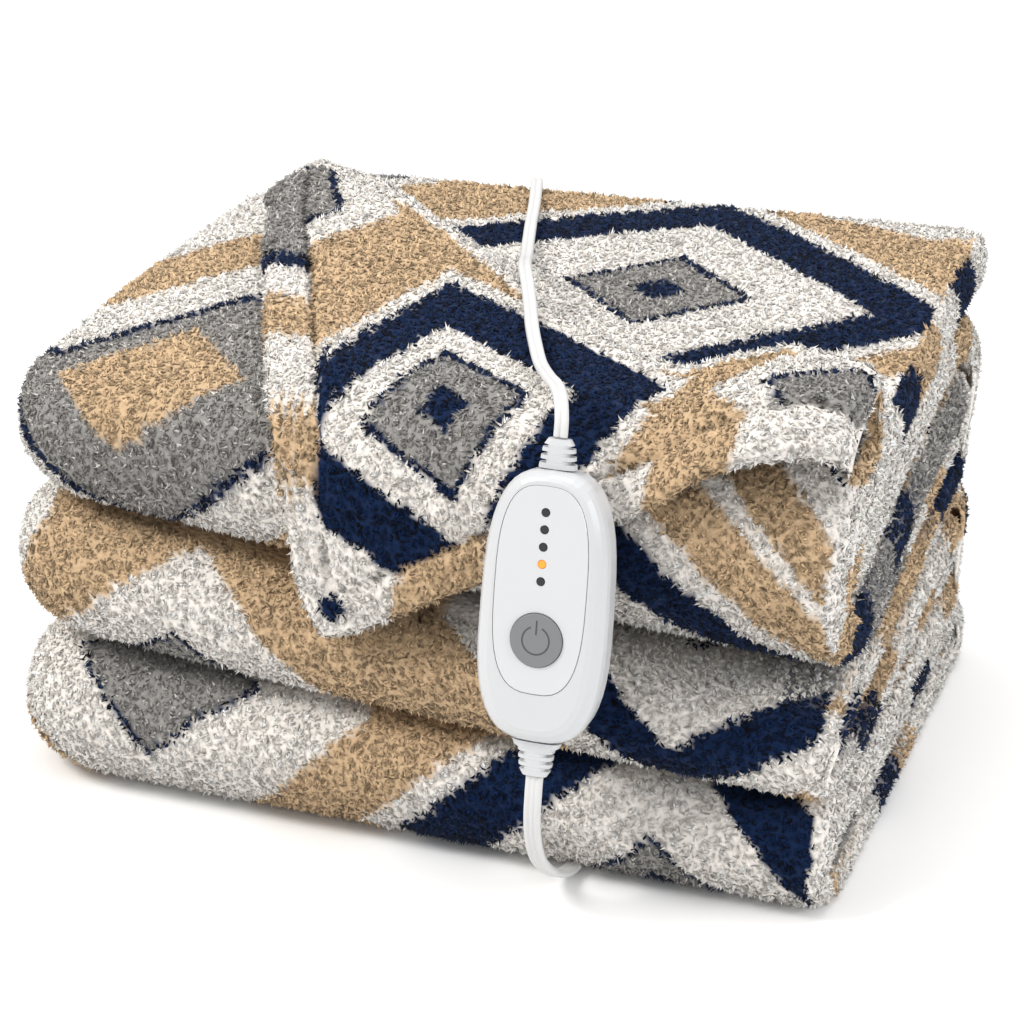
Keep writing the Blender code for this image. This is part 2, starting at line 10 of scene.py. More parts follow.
import bmesh
import bpy
import numpy as np
from mathutils import Matrix, Vector
from mathutils.bvhtree import BVHTree
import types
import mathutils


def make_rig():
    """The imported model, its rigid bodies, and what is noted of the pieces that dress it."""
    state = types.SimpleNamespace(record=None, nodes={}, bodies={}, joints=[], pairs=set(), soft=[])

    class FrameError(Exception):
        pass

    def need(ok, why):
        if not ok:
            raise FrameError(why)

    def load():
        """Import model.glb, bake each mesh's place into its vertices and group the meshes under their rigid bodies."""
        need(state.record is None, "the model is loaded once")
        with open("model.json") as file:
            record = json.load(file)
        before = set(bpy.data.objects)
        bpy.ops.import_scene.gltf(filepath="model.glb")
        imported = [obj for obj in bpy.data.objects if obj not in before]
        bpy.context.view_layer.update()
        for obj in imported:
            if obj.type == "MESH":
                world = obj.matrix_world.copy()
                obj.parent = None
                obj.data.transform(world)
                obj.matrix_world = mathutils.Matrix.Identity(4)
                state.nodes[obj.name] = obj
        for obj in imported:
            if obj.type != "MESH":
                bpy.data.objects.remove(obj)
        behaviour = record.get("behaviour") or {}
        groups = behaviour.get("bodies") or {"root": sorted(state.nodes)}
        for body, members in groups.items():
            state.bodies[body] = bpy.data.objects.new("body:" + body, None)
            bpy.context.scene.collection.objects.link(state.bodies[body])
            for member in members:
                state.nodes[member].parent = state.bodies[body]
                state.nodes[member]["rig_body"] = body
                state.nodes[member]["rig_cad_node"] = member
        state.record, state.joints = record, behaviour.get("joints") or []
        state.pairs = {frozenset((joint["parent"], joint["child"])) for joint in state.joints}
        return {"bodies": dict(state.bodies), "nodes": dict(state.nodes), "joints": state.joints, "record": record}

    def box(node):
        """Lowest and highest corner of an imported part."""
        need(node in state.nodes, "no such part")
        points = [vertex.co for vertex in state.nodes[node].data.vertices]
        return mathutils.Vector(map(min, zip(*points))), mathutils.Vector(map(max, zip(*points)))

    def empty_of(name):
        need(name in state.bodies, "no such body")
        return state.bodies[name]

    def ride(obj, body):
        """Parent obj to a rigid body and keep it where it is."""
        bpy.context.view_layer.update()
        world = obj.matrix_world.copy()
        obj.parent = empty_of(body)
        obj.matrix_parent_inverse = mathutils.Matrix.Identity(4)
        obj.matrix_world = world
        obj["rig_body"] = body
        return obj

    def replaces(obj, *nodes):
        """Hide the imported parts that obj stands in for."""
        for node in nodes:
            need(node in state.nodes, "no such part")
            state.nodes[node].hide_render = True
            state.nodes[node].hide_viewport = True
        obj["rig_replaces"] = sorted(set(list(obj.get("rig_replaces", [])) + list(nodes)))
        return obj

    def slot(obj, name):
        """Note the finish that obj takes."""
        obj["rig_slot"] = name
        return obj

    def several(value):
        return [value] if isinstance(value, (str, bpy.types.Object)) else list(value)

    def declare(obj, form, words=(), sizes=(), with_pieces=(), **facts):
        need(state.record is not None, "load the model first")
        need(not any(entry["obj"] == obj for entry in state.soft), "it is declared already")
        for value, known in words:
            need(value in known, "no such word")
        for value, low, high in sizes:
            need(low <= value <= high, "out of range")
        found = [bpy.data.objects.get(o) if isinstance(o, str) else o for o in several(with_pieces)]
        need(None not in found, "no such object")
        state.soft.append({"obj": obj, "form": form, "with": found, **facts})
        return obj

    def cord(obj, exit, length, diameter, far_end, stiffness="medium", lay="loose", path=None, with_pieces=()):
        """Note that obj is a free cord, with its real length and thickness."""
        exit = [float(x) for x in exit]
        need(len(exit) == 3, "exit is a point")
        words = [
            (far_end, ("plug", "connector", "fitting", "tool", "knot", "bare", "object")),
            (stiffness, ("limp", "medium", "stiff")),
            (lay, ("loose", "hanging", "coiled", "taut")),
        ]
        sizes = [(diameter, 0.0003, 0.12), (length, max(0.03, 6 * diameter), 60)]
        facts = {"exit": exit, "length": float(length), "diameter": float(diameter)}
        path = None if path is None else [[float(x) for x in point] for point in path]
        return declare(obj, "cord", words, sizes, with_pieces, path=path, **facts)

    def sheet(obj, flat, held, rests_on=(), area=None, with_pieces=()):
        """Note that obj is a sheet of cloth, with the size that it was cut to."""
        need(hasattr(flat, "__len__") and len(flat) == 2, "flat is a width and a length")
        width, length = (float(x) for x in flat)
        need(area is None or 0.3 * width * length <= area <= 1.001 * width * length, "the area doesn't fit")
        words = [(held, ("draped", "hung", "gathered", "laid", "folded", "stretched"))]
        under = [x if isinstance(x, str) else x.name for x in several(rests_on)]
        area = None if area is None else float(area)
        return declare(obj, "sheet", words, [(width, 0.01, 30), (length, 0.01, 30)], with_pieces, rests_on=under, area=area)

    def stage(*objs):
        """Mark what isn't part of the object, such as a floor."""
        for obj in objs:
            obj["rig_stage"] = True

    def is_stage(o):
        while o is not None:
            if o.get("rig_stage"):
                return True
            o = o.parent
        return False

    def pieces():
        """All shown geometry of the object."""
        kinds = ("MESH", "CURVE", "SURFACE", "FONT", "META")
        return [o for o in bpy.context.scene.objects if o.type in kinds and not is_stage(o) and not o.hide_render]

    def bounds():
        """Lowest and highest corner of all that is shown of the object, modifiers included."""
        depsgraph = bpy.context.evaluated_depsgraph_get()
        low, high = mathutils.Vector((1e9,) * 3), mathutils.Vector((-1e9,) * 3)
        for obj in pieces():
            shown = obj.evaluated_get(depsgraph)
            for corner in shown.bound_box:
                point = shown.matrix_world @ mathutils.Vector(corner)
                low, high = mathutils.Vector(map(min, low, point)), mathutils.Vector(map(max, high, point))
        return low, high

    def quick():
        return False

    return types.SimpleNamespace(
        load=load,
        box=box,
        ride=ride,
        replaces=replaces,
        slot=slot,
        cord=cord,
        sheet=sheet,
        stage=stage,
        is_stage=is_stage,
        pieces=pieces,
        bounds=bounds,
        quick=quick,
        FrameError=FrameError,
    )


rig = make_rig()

MM = 0.001
ORIGIN = np.array((2.65, -19.49, 0)) * MM  # the middle of the box, from the middle of the stack
SIZE_FILE = "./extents.json"

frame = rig.load()
CAD_BOX = [list(corner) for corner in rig.bounds()]
NODES = frame["nodes"]

# --- The camera and the light ---
CAMERA_TURN, CAMERA_RISE = math.radians(20.02), math.radians(22.85)
CAMERA_AWAY = 1.45118
CAMERA_AIM = np.array((5.09, 1.12, 110.6)) * MM - ORIGIN
LENS_MM, SENSOR_MM = 100, 36
SKY_STRENGTH = 0.86
# Each lamp's name, place, size, watts and colour.
LAMPS = (
    ("key", (-1.1, -1.0, 1.7), 0.8, 30, (1.0, 0.985, 0.96)),
    ("fill", (1.7, -0.5, 0.8), 1.0, 11, (0.96, 0.98, 1.0)),
    ("top", (0.2, 0.4, 1.9), 1.2, 12, (1, 1, 1)),
)
FLOOR_HALF = 4
FLOOR_COLOUR, FLOOR_ROUGHNESS = (0.92, 0.92, 0.92, 1), 0.9


def make_camera():
    """The camera at the photograph's angle and distance."""
    back = Vector((
        math.sin(CAMERA_TURN) * math.cos(CAMERA_RISE),
        -math.cos(CAMERA_TURN) * math.cos(CAMERA_RISE),
        math.sin(CAMERA_RISE),
    ))
    data = bpy.data.cameras.new("camera")
    data.lens, data.sensor_width = LENS_MM, SENSOR_MM
    camera = add_object("camera", data)
    camera.location = Vector(CAMERA_AIM) + CAMERA_AWAY * back
    camera.rotation_euler = back.to_track_quat("Z", "Y").to_euler()
    bpy.context.scene.camera = camera


def area_light(name, place, size, watts, colour):
    """A round lamp that faces the object."""
    data = bpy.data.lights.new(name, "AREA")
    data.shape, data.size, data.energy, data.color = "DISK", size, watts, colour
    light = add_object(name, data)
    light.location = place
    light.rotation_euler = (Vector(place) - Vector(CAMERA_AIM)).to_track_quat("Z", "Y").to_euler()


def make_studio():
    """A pale floor, a bright even sky and soft lamps."""
    world = bpy.data.worlds.new("studio")
    world.use_nodes = True
    set_sockets(world.node_tree.nodes["Background"], {"Color": (1, 1, 1, 1), "Strength": SKY_STRENGTH})
    bpy.context.scene.world = world
    for lamp in LAMPS:
        area_light(*lamp)
    material, _, shader = shader_of("pale_floor")
    set_sockets(shader, {"Base Color": FLOOR_COLOUR, "Roughness": FLOOR_ROUGHNESS})
    corners = FLOOR_HALF * np.array(((-1, -1, 0), (1, -1, 0), (1, 1, 0), (-1, 1, 0)))
    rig.stage(from_arrays("floor", corners, np.arange(4)[None], material))
    bpy.context.scene.view_settings.view_transform = "Standard"


# --- Making things ---
def add_object(name, data):
    """A new object in the scene."""
    made = bpy.data.objects.new(name, data)
    bpy.context.scene.collection.objects.link(made)
    return made


def attach(piece, body, slot, *nodes):
    """Says which body a piece rides on, its slot and the CAD nodes it replaces."""
    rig.ride(piece, body)
    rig.slot(piece, slot)
    if nodes:
        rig.replaces(piece, *nodes)
    return piece


def from_arrays(name, points, faces, material):
    """A smooth mesh object from arrays of points and faces."""
    data = bpy.data.meshes.new(name)
    count, sides = faces.shape
    data.vertices.add(len(points))
    data.vertices.foreach_set("co", points.astype(np.float32).ravel())
    data.loops.add(count * sides)
    data.loops.foreach_set("vertex_index", faces.astype(np.int32).ravel())
    data.polygons.add(count)
    data.polygons.foreach_set("loop_start", np.arange(count, dtype=np.int32) * sides)
    data.polygons.foreach_set("use_smooth", np.ones(count, bool))
    data.update(calc_edges=True)
    data.materials.append(material)
    return add_object(name, data)


def paint(data, colours):
    """Stores the yarn's colour for each point of a mesh, with any painted shade and light in it."""
    layer = data.color_attributes.new("yarn", "FLOAT_COLOR", "POINT")
    layer.data.foreach_set("color", np.insert(colours, 3, 1, axis=1).astype(np.float32).ravel())


def lofted(name, material, smooth, *bodies):
    """One object of closed bodies, each through rings of equal length, smooth up to an angle."""
    mesh = bmesh.new()
    for rings in bodies:
        loops = [[mesh.verts.new(p) for p in ring] for ring in rings]
        for one, two in zip(loops, loops[1:]):
            for a, b, c, d in zip(one, one[1:] + one[:1], two[1:] + two[:1], two):
                mesh.faces.new((a, b, c, d))
        mesh.faces.new(loops[0])
        mesh.faces.new(loops[-1])
    bmesh.ops.recalc_face_normals(mesh, faces=mesh.faces)
    data = bpy.data.meshes.new(name)
    mesh.to_mesh(data)
    mesh.free()
    data.materials.append(material)
    data.shade_smooth()
    data.set_sharp_from_angle(angle=math.radians(smooth))
    return add_object(name, data)


def unit(rows):
    """Rows of vectors, each made one long."""
    return rows / np.maximum(np.linalg.norm(rows, axis=-1, keepdims=True), 1e-15)


# --- Materials ---
MOTTLE_SCALE = 420  # the yarn's mottle, in patches to the metre
MOTTLE = {"From Min": 0.3, "From Max": 0.7, "To Min": 0.9, "To Max": 1.08}
YARN_FINISH = {"Specular IOR Level": 0.12, "Sheen Weight": 0.05, "Sheen Roughness": 0.6}
CURL_DEPTH = 0.4  # of the curls' size
PLASTIC_SCALE, LAMP_SCALE = 45, 500  # clouds to the metre


def shader_of(name):
    """A new material, its node tree and its shader."""
    material = bpy.data.materials.new(name)
    material.use_nodes = True
    tree = material.node_tree
    return material, tree, tree.nodes["Principled BSDF"]


def set_sockets(node, values):
    """Sets a node's own sockets by name."""
    for name, value in values.items():
        node.inputs[name].default_value = value


def add_node(tree, kind, values):
    """A new shader node with its own sockets set."""
    node = tree.nodes.new(kind)
    set_sockets(node, values)
    return node


def uneven_colour(tree, shader, scale, one, other):
    """Gives the shader a cloudy mix of two colours. Returns the clouds."""
    cloud = add_node(tree, "ShaderNodeTexNoise", {"Scale": scale})
    tint = tree.nodes.new("ShaderNodeMix")
    tint.data_type = "RGBA"
    set_sockets(tint, {"A": (*one, 1), "B": (*other, 1)})
    tree.links.new(cloud.outputs["Fac"], tint.inputs["Factor"])
    tree.links.new(tint.outputs["Result"], shader.inputs["Base Color"])
    return cloud


def moulded(name, colour, roughness, grain_mm, depth_mm, coat=0.0, metallic=0.0):
    """A moulded surface: a fine grain, and a slightly uneven colour and gloss."""
    material, tree, shader = shader_of(name)
    place = tree.nodes.new("ShaderNodeTexCoord")
    grain = add_node(tree, "ShaderNodeTexNoise", {"Scale": 1 / (grain_mm * MM), "Detail": 3})
    bump = add_node(tree, "ShaderNodeBump", {"Distance": depth_mm * MM, "Strength": 0.5})
    cloud = uneven_colour(tree, shader, PLASTIC_SCALE, [c * 0.965 for c in colour], colour)
    gloss = add_node(tree, "ShaderNodeMapRange", {"To Min": roughness * 0.9, "To Max": roughness * 1.12})
    link = tree.links.new
    link(place.outputs["Object"], grain.inputs["Vector"])
    link(place.outputs["Object"], cloud.inputs["Vector"])
    link(grain.outputs["Fac"], bump.inputs["Height"])
    link(bump.outputs["Normal"], shader.inputs["Normal"])
    link(cloud.outputs["Fac"], gloss.inputs["Value"])
    link(gloss.outputs["Result"], shader.inputs["Roughness"])
    set_sockets(shader, {"Coat Weight": coat, "Metallic": metallic})
    return material


def lamp_material(name, colour, glow):
    """A lamp's lens, lit where it has a glow."""
    material, tree, shader = shader_of(name)
    uneven_colour(tree, shader, LAMP_SCALE, colour, [0.6 * c for c in colour])
    set_sockets(shader, {"Roughness": 0.2, "Coat Weight": 0.5})
    if glow:
        set_sockets(shader, {"Emission Color": (*colour, 1), "Emission Strength": glow})
    return material


def yarn_material(name, roughness, curl_mm=0.0):
    """Mottled plush yarn. The ground has curls in relief, and the pile is shaded by its lie."""
    material, tree, shader = shader_of(name)
    colour = tree.nodes.new("ShaderNodeVertexColor")
    colour.layer_name = "yarn"
    place = tree.nodes.new("ShaderNodeTexCoord")
    mottle = add_node(tree, "ShaderNodeTexNoise", {"Scale": MOTTLE_SCALE, "Detail": 2})
    shade = add_node(tree, "ShaderNodeMapRange", MOTTLE)
    mixed = tree.nodes.new("ShaderNodeVectorMath")
    mixed.operation = "SCALE"
    link = tree.links.new
    link(place.outputs["Object"], mottle.inputs["Vector"])
    link(mottle.outputs["Fac"], shade.inputs["Value"])
    link(colour.outputs["Color"], mixed.inputs[0])
    link(shade.outputs["Result"], mixed.inputs["Scale"])
    link(mixed.outputs["Vector"], shader.inputs["Base Color"])
    set_sockets(shader, {"Roughness": roughness, **YARN_FINISH})
    if curl_mm:
        curls = add_node(tree, "ShaderNodeTexVoronoi", {"Scale": 1 / (curl_mm * MM)})
        bump = add_node(tree, "ShaderNodeBump", {"Distance": CURL_DEPTH * curl_mm * MM, "Strength": 0.8})
        bump.invert = True
        link(place.outputs["Object"], curls.inputs["Vector"])
        link(curls.outputs["Distance"], bump.inputs["Height"])
        link(bump.outputs["Normal"], shader.inputs["Normal"])
    else:
        lie = tree.nodes.new("ShaderNodeAttribute")
        lie.attribute_name = "lie"
        link(lie.outputs["Vector"], shader.inputs["Normal"])
    return material


# --- The folded throw: the same sizes as its solid ---
HALF_WIDTH = 215 * MM
HALF_DEPTH = 165 * MM
PLY_GAP = 1.6 * MM
FLAP_THICK = 12 * MM
FLAP_CLEAR = 2 * MM
FLAP_NOSE = 13 * MM  # how far the fold over the top stands out
NOSE_LENGTH = 50 * MM  # the cloth round it
HAIRPIN = 1.5 * MM
LEFT_CORNER = 60 * MM
RIGHT_CORNER = 12 * MM
CORNER_CUT = 0.99  # how much of a corner is round before it is cut straight
PLY_EDGE = 8 * MM
BACK_SLANT = 34 * MM
SETBACK = (0, 2 * MM, 9 * MM)  # each fold's front, behind the one below
KICK = 0.15
BACK_RISE = 1.7
FOLD_DEPTH = 40 * MM
LAST_SHORT = 6 * MM
DRAPE_ROUND = 10 * MM
LOW_MIDDLE = 0.35
PINCH_LEFT = 0.75
PINCH_END = 0.96  # how far the plies' ends close: further than in the solid, which stays blunt

RIBBON = (11, 8, 7, 4, 3, 0, 1, 2, 5, 6, 9, 10)  # the plies, as the cloth runs from its turned-over corner
TOP_PLY = RIBBON[0]
FOLD_PLIES = 4
LEVELS = np.array((
    # plies below, front left, front middle, front right, back left, back right, in mm
    (0, 0, 0, 0, 0, 0),
    (4, 75, 59, 52, 76, 75),
    (8, 143, 108, 92, 150, 149),
    (11, 187, 191, 182, 233, 237),
    (12, 200, 205, 197, 247, 251),
), float)
LEVEL_X = (-165 * MM, 50 * MM, 205 * MM)
LEVEL_PAST = 30 * MM
SHORT_RIGHT = (0, 3, 1, 4, 2, 5, 1, 3, 0, 4, 2, 1, 1)
TURNED = 12  # the turned-over corner, counted as one more ply
TURNED_SHORT = 27 * MM  # how far short of the left end it ends
END_REACH = 0.4 * HALF_WIDTH  # how far in from the ends they are uneven
FOLD_LINE = (
    (-215, 97), (-172, 97), (-114, 78), (-30, 12), (15, -28), (45, -56), (96, -82), (150, -93), (215, -95),
)
FREE_EDGE = (
    (-215, 74), (-180, 66), (-126, -21), (-84, -99), (-54, -159), (-44, -195), (-36, -232), (-24, -250),
    (-9, -247), (15, -234), (54, -212), (105, -178), (152, -154), (193, -142), (215, -140),
)
LIFT = ((-215, 0), (120, 0), (145, 14), (172, 24), (215, 20))

# How fine this loft is: stations across, and points along each kind of stretch.
STATION_STEP = 5 * MM
END_STATIONS = (1.0, 2.2, 3.8, 6.0)  # mm in from each end
FLAP_POINTS, NOSE_STEPS = 60, 12
TOP_START = FLAP_POINTS + NOSE_STEPS  # the number of the point where the top ply starts
RUN_POINTS = {10: 60, 11: 30}
HIDDEN_RUN = 6
OUTER_STEPS, INNER_STEPS, LIP_STEPS = 22, 6, 5
INSET = 1.3 * MM  # the woven ground lies this far inside the pile's outer face

# What part of the pattern a point of the cloth shows.
FLAP, TOP, UPPER, MIDDLE, LOWER, REST = range(6)
FOLD_REGION = {2: UPPER, 1: MIDDLE, 0: LOWER}


def walked(points):
    """How far along a line of points each one is."""
    return np.concatenate([[0], np.cumsum(np.linalg.norm(np.diff(points, axis=0), axis=1))])


def table(rows, x):
    """Reads a two-column table in mm at x, in metres."""
    xs, values = np.array(rows, float).T * MM
    return np.interp(x, xs, values)


def read_columns(x, xs, rows):
    """Each column of a table, read at x."""
    return np.column_stack([np.interp(x, xs, column) for column in zip(*rows)])


def quadratic(xs, values, x):
    """The parabola through three points."""
    return sum(v * math.prod((x - b) / (a - b) for b in xs if b != a) for a, v in zip(xs, values))


def corner(x, end, radius):
    """0 away from an end of the stack, rising to 1 at it over its corner's radius."""
    return min(1.0, max(0.0, (abs(x) - abs(end) + radius) / radius)) if x * end > 0 else 0.0


def recess(x, radius_left, radius_right):
    """How far a plan corner has curved back at x."""
    return sum(radius * (1 - math.sqrt(1 - (CORNER_CUT * corner(x, end, radius)) ** 2))
               for end, radius in ((-HALF_WIDTH, radius_left), (HALF_WIDTH, radius_right)))


def front_of(x):
    return -HALF_DEPTH + recess(x, LEFT_CORNER, RIGHT_CORNER)


def back_of(x):
    return HALF_DEPTH - recess(x, 1.2 * LEFT_CORNER, 2 * RIGHT_CORNER)


def depth_share(y):
    """0 at the stack's front, 1 at its back."""
    return np.clip((y + HALF_DEPTH) / (2 * HALF_DEPTH), 0, 1)


def level(plies, x, y):
    """The height over so many plies, before their gaps are taken out."""
    at = [np.interp(plies, LEVELS[:, 0], LEVELS[:, i]) * MM for i in range(1, 6)]
    inside = min(max(x, LEVEL_X[0] - LEVEL_PAST), HALF_WIDTH)
    front = quadratic(LEVEL_X, at[:3], inside)
    across = (inside + HALF_WIDTH) / (2 * HALF_WIDTH)
    back = at[3] + (at[4] - at[3]) * across
    return front + (back - front) * (1 - (1 - depth_share(y)) ** BACK_RISE)


def squeezed(z, fold, x, y):
    """Each fold narrows towards its own middle at the rounded left end."""
    near = corner(x, -HALF_WIDTH, LEFT_CORNER)
    if near == 0:
        return z
    low, high = (level(FOLD_PLIES * n, x, y) for n in (fold, fold + 1))
    middle = low + (high - low) * (0.5 if fold else LOW_MIDDLE)
    return middle + (z - middle) * math.sqrt(1 - (PINCH_LEFT * near) ** 2)


def end_pinch(x):
    """How much of its thickness a ply keeps near its rounded ends."""
    near = max(corner(x, HALF_WIDTH, PLY_EDGE), corner(x, -HALF_WIDTH, PLY_EDGE))
    return math.sqrt(1 - (PINCH_END * near) ** 2)


def faces_of(ply, x, y):
    """The heights of a ply's top and bottom faces."""
    fold = ply // FOLD_PLIES
    low, high = level(ply, x, y), level(ply + 1, x, y)
    bottom, top = squeezed(low, fold, x, y), squeezed(high, fold, x, y)
    half_gap = PLY_GAP / 2 * (top - bottom) / (high - low)
    middle, half = (top + bottom) / 2, (top - bottom) / 2 - half_gap
    if ply == 0:
        middle, half = middle - half_gap / 2, half + half_gap / 2
    half = half * end_pinch(x)
    return middle + half, middle - half


def reach(plies, x, y):
    """How far a nested pair of turns stands out past its plies' straight runs."""
    high, low = faces_of(plies[-1], x, y)[0], faces_of(plies[0], x, y)[1]
    gaps = (len(plies) - 1) * PLY_GAP
    return (high - low - gaps) / 2 + 2 * HAIRPIN


def front_turn(ply, x):
    """Where a ply's straight run ends at the front, and its fold's reach there."""
    fold = ply // FOLD_PLIES
    plies = range(FOLD_PLIES * fold, FOLD_PLIES * (fold + 1))
    out = reach(plies, x, -HALF_DEPTH + FOLD_DEPTH)
    return front_of(x) + out + SETBACK[fold], out


def back_turn(ply, x):
    """Where a ply's straight run ends at the back, and the reach of the turns there."""
    if ply == TOP_PLY:
        return table(FOLD_LINE, x), FLAP_NOSE
    if ply < 2:
        out = reach(range(0, 2), x, HALF_DEPTH) - HAIRPIN
    else:
        first = 2 if ply < 6 else 6
        out = reach(range(first, first + FOLD_PLIES), x, HALF_DEPTH - FOLD_DEPTH)
    return back_of(x) - (LAST_SHORT if ply == RIBBON[-1] else out), out


def turn_sizes(upper, lower, out):
    """The reach of a turn's outer and inner faces."""
    if upper - lower == 3:
        return out, out / 2 + HAIRPIN / 2 + PLY_GAP / 2
    if lower == 0:
        return out, HAIRPIN
    return out / 2 + HAIRPIN / 2 - PLY_GAP / 2, HAIRPIN


def drape(x, s, off):
    """Points that stand off the top fold's outer face, s along it from the back."""
    centre, out = front_turn(11, x)
    top, bottom = faces_of(11, x, centre)[0], faces_of(8, x, centre)[1]
    middle, rise = (top + bottom) / 2, (top - bottom) / 2
    quarter = math.pi / 2 * math.sqrt(((out + DRAPE_ROUND) ** 2 + (rise + DRAPE_ROUND) ** 2) / 2)
    past = centre - s
    turned = np.clip(past / quarter, 0, 1) * math.pi / 2
    hanging = np.maximum(past - quarter, 0)
    y = centre - (out + off) * np.sin(turned) - KICK * hanging
    z = middle + (rise + off) * np.cos(turned) - hanging
    flat = past <= 0
    return np.where(flat, s, y), np.where(flat, faces_of(11, x, np.maximum(s, centre))[0] + off, z)


def stretch(y, z, ply, region, s):
    """A stretch of one face, a row for each point: y, z, ply, region of the pattern, s in it."""
    return np.column_stack(np.broadcast_arrays(y, z, ply, region, s)).astype(float)


def turn(y, way, outer, inner, downward, outer_first, steps, plies, tag):
    """A half turn of both faces. outer and inner are (high, low, reach), tag the outer's pattern."""
    share = np.arange(1, steps) / steps
    angle = math.pi * (0.5 - share) * (1 if downward else -1)
    which = plies[0] + (plies[1] - plies[0]) * share
    region, s_from, s_to = tag
    rows = [
        stretch(y + way * out * np.cos(angle), (high + low) / 2 + (high - low) / 2 * np.sin(angle), which,
                where, s_from + (s_to - s_from) * share)
        for (high, low, out), where in ((outer, region), (inner, REST))
    ]
    return rows if outer_first else rows[::-1]


def front_round(ply, x):
    """The length of the cloth round the front of a ply's fold."""
    centre, out = front_turn(ply, x)
    first = ply - ply % FOLD_PLIES
    rise = (faces_of(first + 3, x, centre)[0] - faces_of(first, x, centre)[1]) / 2
    return math.pi * math.sqrt((out**2 + rise**2) / 2)


def flap_section(x):
    """The turned-over corner's two faces, and the nose that it is folded over."""
    start, end = table(FREE_EDGE, x), table(FOLD_LINE, x)
    thin = math.sqrt(1 - (PINCH_LEFT * corner(x, -HALF_WIDTH, LEFT_CORNER)) ** 2) * end_pinch(x)
    half = FLAP_THICK / 2 * thin
    middle = FLAP_CLEAR + table(LIFT, x) + FLAP_THICK / 2
    s = np.linspace(start, end, FLAP_POINTS)
    over = stretch(*drape(x, s, middle + half), TURNED, FLAP, s)
    under = stretch(*drape(x, s, middle - half), TURNED, REST, s)
    top, bottom = faces_of(TOP_PLY, x, end)
    nose = turn(end, 1, (top + middle + half, bottom, FLAP_NOSE), (top + middle - half, top, HAIRPIN),
                True, True, NOSE_STEPS, (TURNED, TOP_PLY), (FLAP, end, end + NOSE_LENGTH))
    return [over, nose[0]], [under, nose[1]]


def region_of_run(ply, high, y, x):
    """The pattern's region and coordinate along a straight run's face."""
    if ply == 10 and high:
        return TOP, y
    fold = ply // FOLD_PLIES
    centre = front_turn(ply, x)[0]
    if ply % FOLD_PLIES == 3 and high:
        return FOLD_REGION[fold], centre - y
    if ply % FOLD_PLIES == 0 and not high:
        return FOLD_REGION[fold], front_round(ply, x) + y - centre
    return REST, y


def section(x):
    """The ribbon at one station: its two faces, a row for each point."""
    one, two = flap_section(x)
    for place, ply in enumerate(RIBBON):
        to_front = place % 2 == 0
        front, back = front_turn(ply, x)[0], back_turn(ply, x)[0]
        y = np.linspace(front, back, RUN_POINTS.get(ply, HIDDEN_RUN))
        y = y[::-1] if to_front else y
        high, low = faces_of(ply, x, y)
        above = stretch(y, high, ply, *region_of_run(ply, True, y, x))
        below = stretch(y, low, ply, *region_of_run(ply, False, y, x))
        one.append(below if to_front else above)
        two.append(above if to_front else below)
        if place + 1 == len(RIBBON):
            break
        other = RIBBON[place + 1]
        upper, lower = max(ply, other), min(ply, other)
        where, out = (front_turn if to_front else back_turn)(ply, x)
        top, bottom = faces_of(upper, x, where), faces_of(lower, x, where)
        big, small = turn_sizes(upper, lower, out)
        tag = (REST, 0, 0)
        if to_front and upper - lower == 3:
            tag = (FOLD_REGION[upper // FOLD_PLIES], 0, front_round(ply, x))
        pair = turn(where, -1 if to_front else 1, (top[0], bottom[1], big), (top[1], bottom[0], small),
                    ply > other, (ply > other) != to_front,
                    OUTER_STEPS if upper - lower == 3 or lower == 0 else INNER_STEPS, (ply, other), tag)
        one.append(pair[0])
        two.append(pair[1])
    return np.vstack(one), np.vstack(two)


def lip(first, second, before, shown):
    """The ribbon's rounded free edge, from its first face to its second, patterned as shown."""
    middle, half = (first[:2] + second[:2]) / 2, (first[:2] - second[:2]) / 2
    out = first[:2] - before[:2]
    out = out / np.linalg.norm(out) * np.linalg.norm(half)
    angle = (math.pi * np.arange(1, LIP_STEPS) / LIP_STEPS)[:, None]
    rows = np.repeat(shown[None], LIP_STEPS - 1, axis=0)
    rows[:, :2] = middle + half * np.cos(angle) + out * np.sin(angle)
    return rows


def placed(x, rows):
    """A section's points in space: uneven at the right end, and shorter at the back left."""
    y, z, ply = rows[:, 0], rows[:, 1], rows[:, 2]
    short = np.interp(ply, range(len(SHORT_RIGHT)), SHORT_RIGHT) * MM * corner(x, HALF_WIDTH, END_REACH) ** 2
    turned = np.clip(ply - TURNED + 1, 0, 1) * TURNED_SHORT * corner(x, -HALF_WIDTH, END_REACH) ** 1.5
    slant = BACK_SLANT * depth_share(y) * ((HALF_WIDTH - x) / (2 * HALF_WIDTH)) ** 2
    return np.column_stack([x - short + slant + turned, y, z]) - ORIGIN


def stations():
    """Where the sections stand: evenly, and closer at both ends."""
    ends = np.array(END_STATIONS) * MM
    inner = HALF_WIDTH - ends[-1] - STATION_STEP / 2
    even = np.linspace(-inner, inner, round(2 * inner / STATION_STEP) + 1)
    first = np.concatenate([[0], ends])
    return np.concatenate([first - HALF_WIDTH, even, (HALF_WIDTH - first)[::-1]])


